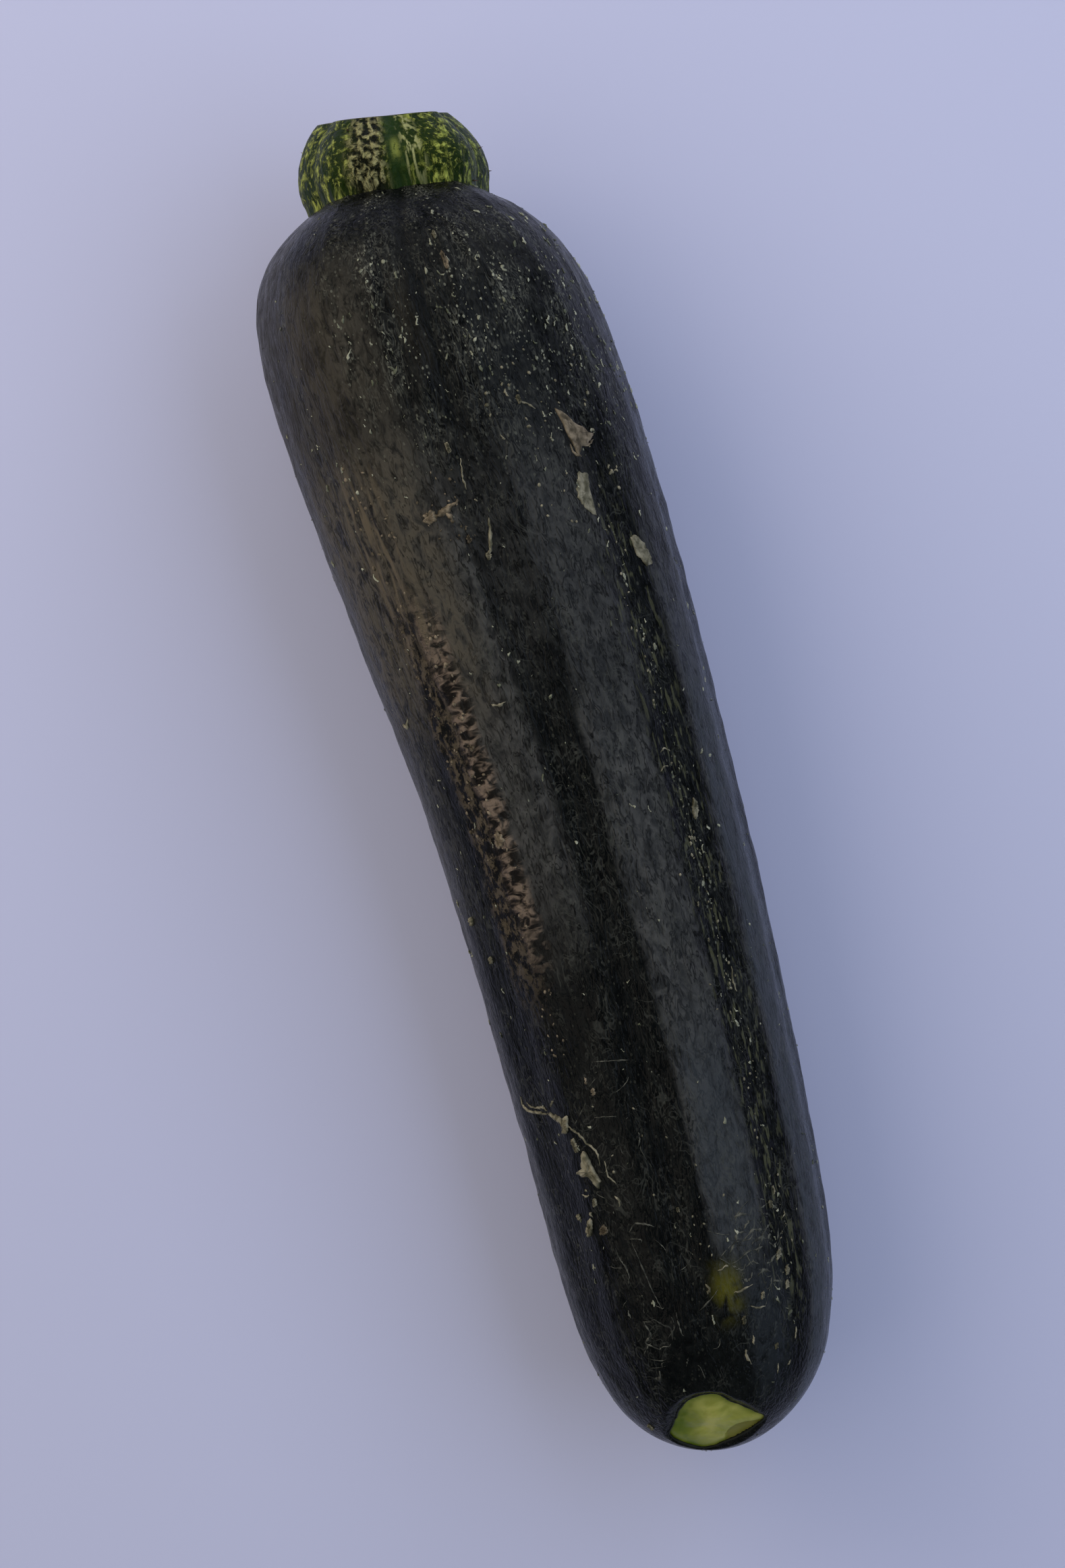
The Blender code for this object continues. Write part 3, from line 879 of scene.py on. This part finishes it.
def faint_marks():
    """Dull grey grazes and thin healed scratches near the flower end."""
    marks = Crusts(seed=31)
    for width, path in FAINT_LINES:
        marks.scratch(path, width, 0.08 + 0.16 * width, 0.6)
    for path in TANGLED_GRAZES:
        marks.scratch(path, 0.36, 0.12, 0.8)
    for stations, angles, count in SCUFFS:
        for _ in range(count):
            start = np.array([marks.rng.uniform(*stations), marks.rng.uniform(*angles)])
            step = marks.rng.normal(0, 1, 2) * [0.45, 1.7]
            turn = marks.rng.normal(0, 1, 2) * [0.6, 1.3]
            path = [start, start + step, start + 2 * step + turn, start + 2.6 * step + 2.2 * turn]
            marks.scratch(path, marks.rng.uniform(0.12, 0.24), 0.07, 0.7)
    surface = scab_finish("healed_scratch", (0.014, 0.015, 0.012), (0.120, 0.117, 0.094))
    return marks.piece("faint_scratches", surface)


def tan_marks():
    """Tan and pinkish crusts of old wounds, and crumbly cork on the streak and beside the stem."""
    marks = Crusts(seed=23)
    for width, path in TAN_LINES:
        marks.scratch(path, width, 0.14 + 0.2 * width)
    for thick, ragged, outline in TAN_CRUSTS:
        marks.scab(outline, thick, ragged)
    for strewn in TAN_CRUMBS:
        marks.crumbs(*strewn)
    return marks.piece("tan_scabs", scab_finish("tan_scab", (0.070, 0.052, 0.030), (0.300, 0.235, 0.160)))


MOST_SWING = 1.1  # radians that a fleck may be turned aside
RAGGEDNESS = 0.0007  # metres
SOWING_INPUTS = {
    "Surface": "NodeSocketGeometry",
    "Most per square metre": "NodeSocketFloat",
    "Seed": "NodeSocketInt",
    "Smallest": "NodeSocketFloat",
    "Largest": "NodeSocketFloat",
    "Finish": "NodeSocketMaterial",
}


def feed(tree, socket, value):
    """Links an output to an input, or gives the input a plain value."""
    if isinstance(value, bpy.types.NodeSocket):
        tree.links.new(value, socket)
    elif socket.type == "RGBA":
        socket.default_value = (*value, 1.0)
    else:
        socket.default_value = value


def node(tree, kind, inputs=(), **settings):
    """Adds a node to a tree. Its inputs go by name or by number."""
    made = tree.nodes.new(kind)
    for name, value in settings.items():
        setattr(made, name, value)
    for name, value in dict(inputs).items():
        feed(tree, made.inputs[name], value)
    return made


def maths(tree, operation, first, second=0.0, clamp=False):
    inputs = {0: first, 1: second}
    return node(tree, "ShaderNodeMath", inputs, operation=operation, use_clamp=clamp).outputs[0]


def random_number(tree, seed, low, high, whole=False):
    """A random number for each point."""
    kind, place, output = ("INT", 4, 2) if whole else ("FLOAT", 2, 1)
    inputs = {"Seed": seed, place: low, place + 1: high}
    return node(tree, "FunctionNodeRandomValue", inputs, data_type=kind).outputs[output]


def facing(tree, normals):
    """Standing out of the skin with the long side lengthwise, and now and then turned aside."""
    lengthwise = node(tree, "ShaderNodeCombineXYZ", {"X": 1.0}).outputs[0]
    stand = node(tree, "FunctionNodeAlignRotationToVector", {"Vector": normals}, axis="Z").outputs[0]
    inputs = {"Rotation": stand, "Vector": lengthwise}
    point = node(tree, "FunctionNodeAlignRotationToVector", inputs, axis="X", pivot_axis="Z").outputs[0]
    swing = maths(tree, "POWER", random_number(tree, 3, -1.0, 1.0), 3.0)
    inputs = {"Axis": (0, 0, 1), "Angle": maths(tree, "MULTIPLY", swing, MOST_SWING)}
    spin = node(tree, "FunctionNodeAxisAngleToRotation", inputs).outputs[0]
    inputs = {"Rotation": point, "Rotate By": spin}
    return node(tree, "FunctionNodeRotateRotation", inputs, rotation_space="LOCAL").outputs[0]


def sowing_tree(name, shapes):
    """A tree of nodes that sows small shapes over a surface, as thickly as its fleck number says."""
    tree = bpy.data.node_groups.new(name, "GeometryNodeTree")
    tree.interface.new_socket("Geometry", in_out="OUTPUT", socket_type="NodeSocketGeometry")
    for label, kind in SOWING_INPUTS.items():
        tree.interface.new_socket(label, in_out="INPUT", socket_type=kind)
    given = node(tree, "NodeGroupInput").outputs
    thick = node(tree, "GeometryNodeInputNamedAttribute", {"Name": "fleck"}, data_type="FLOAT")
    density = maths(tree, "MULTIPLY", thick.outputs["Attribute"], given["Most per square metre"])
    inputs = {"Mesh": given["Surface"], "Density": density, "Seed": given["Seed"]}
    sown = node(tree, "GeometryNodeDistributePointsOnFaces", inputs, distribute_method="RANDOM").outputs
    kinds = node(tree, "GeometryNodeJoinGeometry")
    for shape in shapes:
        single = node(tree, "GeometryNodeGeometryToInstance", {0: shape(tree)})
        tree.links.new(single.outputs[0], kinds.inputs[0])
    # Small ones are far more common than large ones.
    small = maths(tree, "POWER", random_number(tree, 5, 0.0, 1.0), 3.2)
    inputs = {"Value": small, "To Min": given["Smallest"], "To Max": given["Largest"]}
    size = node(tree, "ShaderNodeMapRange", inputs).outputs["Result"]
    inputs = {
        "Points": sown["Points"],
        "Instance": kinds.outputs[0],
        "Pick Instance": True,
        "Instance Index": random_number(tree, 7, 0, len(shapes) - 1, whole=True),
        "Rotation": facing(tree, sown["Normal"]),
        "Scale": size,
    }
    placed = node(tree, "GeometryNodeInstanceOnPoints", inputs).outputs[0]
    real = node(tree, "GeometryNodeRealizeInstances", {"Geometry": placed}).outputs[0]
    # Each one a little ragged.
    uneven = node(tree, "ShaderNodeTexNoise", {"Scale": 2600.0, "Detail": 1.0}).outputs["Color"]
    inputs = {0: uneven, 1: (0.5, 0.5, 0.5)}
    centred = node(tree, "ShaderNodeVectorMath", inputs, operation="SUBTRACT").outputs[0]
    inputs = {0: centred, "Scale": RAGGEDNESS}
    nudge = node(tree, "ShaderNodeVectorMath", inputs, operation="SCALE").outputs[0]
    ragged = node(tree, "GeometryNodeSetPosition", {"Geometry": real, "Offset": nudge}).outputs[0]
    inputs = {"Geometry": ragged, "Material": given["Finish"]}
    finished = node(tree, "GeometryNodeSetMaterial", inputs).outputs[0]
    node(tree, "NodeGroupOutput", {"Geometry": finished})
    return tree


def flat_ball(tree, radius, scale):
    ball = node(tree, "GeometryNodeMeshIcoSphere", {"Radius": radius, "Subdivisions": 2}).outputs[0]
    return node(tree, "GeometryNodeTransform", {"Geometry": ball, "Scale": scale}).outputs[0]


def grain_shape(tree):
    """A long flat grain, one unit long."""
    return flat_ball(tree, 0.5, (1.0, 0.36, 0.20))


def dot_shape(tree):
    """A round flat dot."""
    return flat_ball(tree, 0.28, (1.0, 0.75, 0.4))


def tick_shape(tree):
    """A bent tick with one thick end."""
    inputs = {"Resolution": 5, "Start": (-0.55, -0.05, 0), "Middle": (0.05, 0.14, 0), "End": (0.55, -0.12, 0)}
    line = node(tree, "GeometryNodeCurveQuadraticBezier", inputs).outputs[0]
    along = node(tree, "GeometryNodeSplineParameter").outputs["Factor"]
    inputs = {"Value": along, "To Min": 0.17, "To Max": 0.06}
    slim = node(tree, "ShaderNodeMapRange", inputs).outputs["Result"]
    ring = node(tree, "GeometryNodeCurvePrimitiveCircle", {"Resolution": 4, "Radius": 1.0}).outputs[0]
    inputs = {"Curve": line, "Profile Curve": ring, "Scale": slim, "Fill Caps": True}
    return node(tree, "GeometryNodeCurveToMesh", inputs).outputs[0]


def thorn_shape(tree):
    """A short thorn."""
    inputs = {"Vertices": 5, "Radius Top": 0.02, "Radius Bottom": 0.16, "Depth": 1.0}
    return node(tree, "GeometryNodeMeshCone", inputs).outputs[0]


def sow(name, host, shapes, finish, most, seed, smallest, largest):
    """Sows shapes over a surface and keeps them as a plain mesh. Sizes are in millimetres."""
    tree = sowing_tree("sow_" + name, shapes)
    mesh = host.data.copy()
    mesh.materials.clear()
    piece = bpy.data.objects.new(name, mesh)
    bpy.context.scene.collection.objects.link(piece)
    modifier = piece.modifiers.new("sow", "NODES")
    modifier.node_group = tree
    values = {
        "Most per square metre": most,
        "Seed": seed,
        "Smallest": smallest * MM,
        "Largest": largest * MM,
        "Finish": finish,
    }
    for item in tree.interface.items_tree:
        if item.in_out == "INPUT" and item.name in values:
            modifier[item.identifier] = values[item.name]
    graph = bpy.context.evaluated_depsgraph_get()
    made = bpy.data.meshes.new_from_object(piece.evaluated_get(graph))
    piece.modifiers.clear()
    piece.data = made
    bpy.data.meshes.remove(mesh)
    made.name = name
    made.shade_smooth()
    return piece


def sow_flecks(fruit):
    shapes = (grain_shape, dot_shape, grain_shape, grain_shape, tick_shape)
    return sow("flecks", fruit, shapes, fleck_finish(), most=1.0e6, seed=4, smallest=0.24, largest=1.2)


def sow_thorns(stem):
    return sow("thorns", stem, (thorn_shape,), thorn_finish(), most=3.0e4, seed=9, smallest=0.4, largest=1.0)


# ---- Materials ----


class Finish:
    """A material in the making, with short calls for the nodes that it uses."""

    def __init__(self, name, roughness, specular, straight=False):
        self.material = bpy.data.materials.new(name)
        self.material.use_nodes = True
        self.tree = self.material.node_tree
        self.shader = self.tree.nodes["Principled BSDF"].inputs
        self.give({"Roughness": roughness, "Specular IOR Level": specular})
        place = self.add("Attribute", attribute_name="straight") if straight else self.add("TexCoord")
        self.place = place.outputs["Vector" if straight else "Object"]

    def give(self, values):
        for name, value in values.items():
            feed(self.tree, self.shader[name], value)

    def add(self, kind, inputs=(), **settings):
        return node(self.tree, "ShaderNode" + kind, inputs, **settings)

    def zone(self, name):
        return self.add("Attribute", attribute_name=name).outputs["Fac"]

    def stretched(self, along, across):
        """The place on the piece, in grains of these sizes in millimetres."""
        scale = (1 / (along * MM), 1 / (across * MM), 1 / (across * MM))
        return self.add("Mapping", {"Vector": self.place, "Scale": scale}).outputs["Vector"]

    def grain(self, along, across, detail=2.0, distortion=0.0, roughness=0.5):
        inputs = {"Vector": self.stretched(along, across), "Scale": 1.0, "Detail": detail}
        inputs |= {"Distortion": distortion, "Roughness": roughness}
        return self.add("TexNoise", inputs).outputs["Fac"]

    def plus(self, first, second, clamp=False):
        return maths(self.tree, "ADD", first, second, clamp)

    def minus(self, first, second, clamp=False):
        return maths(self.tree, "SUBTRACT", first, second, clamp)

    def most(self, first, second):
        return maths(self.tree, "MAXIMUM", first, second)

    def times(self, *factors):
        total = factors[0]
        for factor in factors[1:]:
            total = maths(self.tree, "MULTIPLY", total, factor)
        return total

    def step(self, value, low, high, to_low=0.0, to_high=1.0):
        """A smooth step from one value to another."""
        inputs = {"Value": value, "From Min": low, "From Max": high, "To Min": to_low, "To Max": to_high}
        return self.add("MapRange", inputs, interpolation_type="SMOOTHSTEP").outputs["Result"]

    def line(self, value, level, edge, core):
        """A thin line where a value passes a level."""
        return self.step(maths(self.tree, "ABSOLUTE", self.minus(value, level)), edge, core)

    def mix(self, share, first, second):
        inputs = {"Factor": share, 6: first, 7: second}
        return self.add("Mix", inputs, data_type="RGBA", clamp_factor=True).outputs[2]

    def layers(self, body, *coats):
        """Lays colours over each other, each by its own share."""
        for share, colour in coats:
            body = self.mix(share, body, colour)
        return body

    def spots(self, along, across, size, share):
        """Small round spots, in a share of the cells of this size."""
        inputs = {"Vector": self.stretched(along, across), "Scale": 1.0}
        cells = self.add("TexVoronoi", inputs, feature="F1").outputs
        pick = self.add("SeparateColor", {"Color": cells["Color"]}).outputs
        chosen = self.step(pick["Red"], 1 - share, 1 - share + 0.01)
        inside = self.step(self.minus(cells["Distance"], self.times(pick["Green"], size)), 0.09, 0.0)
        return self.times(chosen, inside)

    def bump(self, *reliefs):
        """Relief from pairs of height (0 to 1) and depth in millimetres."""
        total = 0.0
        for height, depth in reliefs:
            total = self.plus(self.times(height, depth), total)
        made = self.add("Bump", {"Height": total, "Distance": MM, "Strength": 1.0})
        self.give({"Normal": made.outputs["Normal"]})


def skin_finish():
    made = Finish("courgette_skin", 0.3, 0.11, straight=True)
    furrow, stem_end, flecked = made.zone("furrow"), made.zone("stem_end"), made.zone("fleck")
    warm_highlight = made.zone("warm_highlight")
    mottle = made.grain(9, 4)
    relief = made.grain(2.7, 1.5, detail=3, distortion=0.7, roughness=0.64)
    cloud = made.step(relief, 0.34, 0.68)
    pepper = made.grain(1.1, 0.5, detail=2, roughness=0.6)
    worm = made.grain(2.6, 0.8, detail=1, distortion=1.4)
    # Dark green in the furrows, a painted grey reflection of the lamps on the faces, charcoal near the stem.
    green = made.mix(cloud, (0.0009, 0.0013, 0.0018), (0.0038, 0.0047, 0.0050))
    painted_grey_sheen = made.mix(cloud, (0.0185, 0.0187, 0.0195), (0.0680, 0.0665, 0.0650))
    crown = made.mix(cloud, (0.0010, 0.0014, 0.0017), (0.0125, 0.0130, 0.0125))
    body = made.mix(stem_end, made.mix(furrow, painted_grey_sheen, green), crown)
    # Fine pale grain, thickest on the ridges below the stem,
    # and painted brighter on the lit faces than in the furrows.
    rows = made.plus(made.times(stem_end, 0.35), made.times(made.zone("rows"), 0.55), clamp=True)
    lit = made.minus(0.30, made.times(furrow, 0.25))
    grainy = made.times(made.step(pepper, 0.52, 0.66), made.plus(rows, lit, clamp=True))
    # Worm-like ridges, thickest near the stem, whose pale lines are partly painted glints,
    # with painted shade in the creases beside them.
    bunched = made.times(made.step(mottle, 0.40, 0.58), made.plus(rows, 0.09, clamp=True))
    broken = made.step(pepper, 0.40, 0.52, 0.1, 1.0)
    ridge_and_glint = made.times(made.line(worm, 0.5, 0.070, 0.01), bunched, broken)
    crease_shade = made.line(worm, 0.62, 0.075, 0.015)
    # Lengthwise streaks of yellow green in the furrow, and a painted bluish grey reflection
    # along each side and near the flower end.
    streak = made.times(made.zone("streaked"), made.step(made.grain(2.8, 0.60), 0.55, 0.66))
    side = made.times(made.zone("edge"), made.step(relief, 0.26, 0.56, 0.25, 1.0), 0.75)
    # The yellow patch near the flower end.
    patch = made.times(made.zone("yellow"), made.step(made.grain(3.4, 3.0, distortion=0.6), 0.34, 0.60))
    # Faint curled scuffs.
    curl = made.line(made.grain(4.2, 2.8, detail=2, distortion=1.8), 0.5, 0.030, 0.004)
    grazed = made.plus(made.zone("grazed"), 0.38, clamp=True)
    scuff = made.times(curl, made.step(mottle, 0.42, 0.60), grazed)
    # A smooth dusty film beside the stem, which is partly a painted highlight,
    # and a painted warm highlight along the same side.
    film_and_highlight = made.times(made.zone("dust_and_highlight"), made.step(mottle, 0.20, 0.55))
    warm_highlight_share = made.times(warm_highlight, made.step(relief, 0.36, 0.58, 0.15, 1.0))
    # Pale points too small to be flecks.
    points = made.times(made.spots(0.85, 0.58, 0.28, 0.6), made.plus(made.times(flecked, 1.2), 0.04))
    # Cork: brown lumps with dark holes, knuckled ripples, and lengthwise strands.
    # The pale tan of the ripples and strands is partly a painted warm highlight.
    crumble = made.step(made.grain(1.6, 1.1, detail=3, roughness=0.68), 0.44, 0.58)
    wave = made.step(made.grain(1.15, 2.0, distortion=0.6), 0.40, 0.62)
    ripples = made.times(made.zone("ripples"), made.step(relief, 0.28, 0.46))
    flow = made.step(made.grain(6.5, 1.1, distortion=0.5), 0.42, 0.64)
    body = made.layers(
        body,
        (grainy, (0.034, 0.0345, 0.030)),
        (ridge_and_glint, (0.115, 0.115, 0.094)),
        (made.times(crease_shade, 0.75), (0.0008, 0.0009, 0.0011)),
        (made.times(streak, 0.8), (0.080, 0.080, 0.044)),
        (side, (0.0400, 0.0470, 0.0570)),
        (made.times(patch, 0.85), (0.100, 0.092, 0.008)),
        (scuff, (0.070, 0.072, 0.064)),
        (made.times(made.zone("valley"), 0.8), (0.0022, 0.0028, 0.0032)),
        (film_and_highlight, (0.0240, 0.0205, 0.0150)),
        (warm_highlight_share, (0.082, 0.071, 0.055)),
        # Painted shade in the creases inside the warm highlight.
        (made.times(crease_shade, warm_highlight, 0.6), (0.0040, 0.0038, 0.0030)),
        (points, (0.210, 0.212, 0.165)),
        (made.zone("lumps"), made.mix(crumble, (0.0020, 0.0019, 0.0016), (0.085, 0.066, 0.043))),
        (ripples, made.mix(wave, (0.0070, 0.0052, 0.0040), (0.200, 0.148, 0.112))),
        (made.times(made.zone("strands"), flow), (0.125, 0.100, 0.068)),
    )
    # Cork is dull, the furrow is waxy.
    cork = made.most(made.zone("lumps"), made.most(ripples, made.zone("strands")))
    dull = made.plus(made.step(relief, 0.30, 0.70, 0.20, 0.42), made.times(stem_end, 0.10))
    dull = made.plus(made.minus(dull, made.times(furrow, 0.07)), made.times(cork, 0.30))
    made.give({"Base Color": body, "Roughness": dull})
    made.bump(
        (relief, 0.18),
        (worm, 0.16),
        (made.times(wave, made.zone("ripples")), 0.24),
        (made.times(crumble, made.zone("lumps")), 0.22),
    )
    return made.material


def stem_finish():
    made = Finish("stem_skin", 0.40, 0.08, straight=True)
    cut, smooth, lined, beaded = (made.zone(name) for name in ("cut", "smooth", "lined", "beaded"))
    blur = made.grain(2.2, 1.5, detail=4, distortion=0.5)
    fine = made.grain(0.9, 0.7, detail=3, roughness=0.6)
    patchy = made.grain(1.9, 1.15, detail=4, distortion=0.5, roughness=0.62)
    # Pale spots of two sizes on green, fewer on the smooth parts and none on the cut.
    deep = made.mix(blur, (0.0030, 0.0090, 0.0008), (0.0190, 0.0400, 0.0025))
    pale = made.mix(fine, (0.100, 0.160, 0.008), (0.580, 0.610, 0.140))
    large = made.times(made.step(patchy, 0.48, 0.62), made.step(fine, 0.30, 0.55, 0.35, 1.0))
    small = made.times(made.step(fine, 0.55, 0.68), made.step(blur, 0.30, 0.60, 0.3, 0.9))
    calm = made.minus(made.minus(1.0, made.times(made.most(smooth, lined), 0.80)), cut, clamp=True)
    spots = made.times(made.most(large, small), calm)
    # The strip of small beads left of the smooth furrow.
    beads = made.step(made.grain(1.2, 0.8, detail=3, distortion=0.4), 0.42, 0.60)
    bead = made.mix(fine, (0.120, 0.118, 0.036), (0.580, 0.530, 0.260))
    lines = made.step(made.grain(16, 0.75, detail=2, distortion=0.2), 0.47, 0.60)
    wood = made.step(made.grain(6, 1.1, detail=3), 0.35, 0.65)
    body = made.layers(
        deep,
        (spots, pale),
        (
            made.times(beaded, made.step(patchy, 0.26, 0.46, 0.35, 1.0)),
            made.mix(beads, (0.0060, 0.0075, 0.0020), bead),
        ),
        (made.times(smooth, 0.85), made.mix(blur, (0.0050, 0.0170, 0.0030), (0.0210, 0.0500, 0.0080))),
        (made.times(made.zone("oval"), made.step(fine, 0.3, 0.5)), (0.210, 0.240, 0.050)),
        (made.times(lined, lines), (0.340, 0.350, 0.150)),
        (cut, made.mix(wood, (0.120, 0.125, 0.060), (0.300, 0.290, 0.180))),
    )
    made.give({"Base Color": body})
    uncut = made.minus(1.0, cut)
    made.bump((made.times(blur, uncut), 0.55), (spots, 0.34), (made.times(beads, beaded), 0.50))
    return made.material


def flesh_finish():
    made = Finish("scar_flesh", 0.30, 0.25)
    cloud = made.step(made.grain(3.4, 3.4, detail=4, distortion=0.4), 0.35, 0.65)
    greener = made.times(made.zone("greener"), made.step(made.grain(2.6, 2.6, detail=2), 0.3, 0.6, 0.6, 1.0))
    body = made.layers(
        made.mix(cloud, (0.340, 0.350, 0.060), (0.520, 0.500, 0.125)),
        (greener, (0.115, 0.165, 0.010)),
        (made.times(made.zone("lobe"), 0.75), (0.185, 0.165, 0.030)),
    )
    made.give({"Base Color": body, "Subsurface Weight": 0.15})
    made.give({"Subsurface Radius": (0.6, 1.0, 0.3), "Subsurface Scale": 0.0015})
    made.bump((made.grain(1.8, 1.8, detail=3), 0.10))
    return made.material


def lip_finish():
    made = Finish("torn_skin_edge", 0.42, 0.3)
    cloud = made.grain(1.2, 1.2, detail=3)
    made.give({"Base Color": made.mix(cloud, (0.0020, 0.0032, 0.0018), (0.0100, 0.0130, 0.0060))})
    made.bump((made.grain(0.7, 0.7, detail=2), 0.06))
    return made.material


def scab_finish(name, dark, pale):
    made = Finish(name, 0.62, 0.3)
    cloud = made.step(made.grain(1.4, 1.1, detail=4), 0.34, 0.66)
    made.give({"Base Color": made.mix(cloud, dark, pale)})
    made.bump((made.grain(0.5, 0.5, detail=3), 0.08))
    return made.material


def fleck_finish():
    made = Finish("pale_fleck", 0.5, 0.35)
    cloud = made.step(made.grain(5, 3, detail=3), 0.35, 0.65)
    made.give({"Base Color": made.mix(cloud, (0.090, 0.096, 0.056), (0.470, 0.465, 0.350))})
    return made.material


def thorn_finish():
    made = Finish("stem_thorn", 0.5, 0.3)
    made.give({"Base Color": made.mix(made.grain(3, 3), (0.055, 0.030, 0.018), (0.180, 0.110, 0.080))})
    return made.material


def floor_finish():
    made = Finish("pale_table", 0.75, 0.2)
    cloud = made.grain(180, 180, detail=0)
    made.give({"Base Color": made.mix(cloud, (0.655, 0.665, 0.940), (0.700, 0.712, 0.975))})
    return made.material


# ---- Floor, light and camera ----


def make_floor(surface):
    half = 2500.0
    corners = [(-half, -half, 0), (half, -half, 0), (half, half, 0), (-half, half, 0)]
    floor = mesh_piece("table_top", corners, [(0, 1, 2, 3)], surface, smooth=False)


def panel(name, towards_stem, sideways, size, watts, colour):
    """A soft light above the courgette, leant towards the stem and sideways by these angles.

    Its size is given along the courgette first. The camera doesn't see it.
    """
    lean, turn = math.radians(towards_stem), math.radians(sideways)
    out = Vector((math.sin(lean), -math.cos(lean) * math.sin(turn), math.cos(lean) * math.cos(turn)))
    along = (Vector((1, 0, 0)) - out * out.x).normalized()
    light = bpy.data.lights.new(name, "AREA")
    light.shape = "RECTANGLE"
    light.size, light.size_y = size
    light.energy, light.color = watts, colour
    lamp = bpy.data.objects.new(name, light)
    lamp.location = out * LAMP_DISTANCE
    lamp.rotation_euler = Matrix((along, out.cross(along), out)).transposed().to_euler()
    lamp.visible_camera = False
    bpy.context.scene.collection.objects.link(lamp)


def light_scene():
    world = bpy.data.worlds.new("dim_room")
    world.use_nodes = True
    back = world.node_tree.nodes["Background"]
    back.inputs["Color"].default_value = (0.9, 1.0, 1.0, 1.0)
    back.inputs["Strength"].default_value = 0.18
    bpy.context.scene.world = world
    panel("stem_end_left", 46, -46, (0.45, 0.40), 0.80, (1.0, 0.88, 0.68))
    panel("stem_end_top", 50, -2, (0.45, 0.45), 0.35, (0.95, 0.97, 1.0))
    panel("stem_end_right", 46, 62, (0.45, 0.40), 0.62, (0.88, 0.90, 1.0))
    panel("right_window", 0, 37, (0.80, 0.44), 1.32, (0.70, 0.81, 1.0))
    panel("left_wall", 16, -43, (0.90, 0.60), 1.20, (1.0, 0.90, 0.78))
    panel("nose_end", -52, 5, (0.50, 0.70), 0.12, (0.9, 1.0, 0.9))


def place_camera():
    eye = bpy.data.cameras.new("camera")
    eye.lens = 79.5
    eye.clip_start = 0.01
    camera = bpy.data.objects.new("camera", eye)
    camera.location = (0.0, 0.0046, 0.522)
    camera.rotation_euler = (0.0, 0.0, math.radians(-106.2))
    bpy.context.scene.collection.objects.link(camera)
    bpy.context.scene.camera = camera
    bpy.context.scene.view_settings.view_transform = "Standard"


def corners(bounds):
    return [[round(number, 6) for number in corner] for corner in bounds]


def main():
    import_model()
    solid_box = corners(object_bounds())
    skin_material, stem_material = skin_finish(), stem_finish()
    fruit = make_fruit(skin_material)
    keep_inside(fruit, solid_box)
    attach(fruit, "root")
    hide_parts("fruit")
    stem = make_stem(stem_material)
    keep_inside(stem, solid_box)
    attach(stem, "root")
    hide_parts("stem")
    for piece, slot in (
        (make_flesh(flesh_finish()), "skin"),
        (make_lip(lip_finish()), "skin"),
        (pale_marks(), "skin"),
        (tan_marks(), "skin"),
        (faint_marks(), "skin"),
        (sow_flecks(fruit), "skin"),
        (sow_thorns(stem), "stem"),
    ):
        keep_inside(piece, solid_box)
        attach(piece, "root")
    make_floor(floor_finish())
    light_scene()
    place_camera()


main()
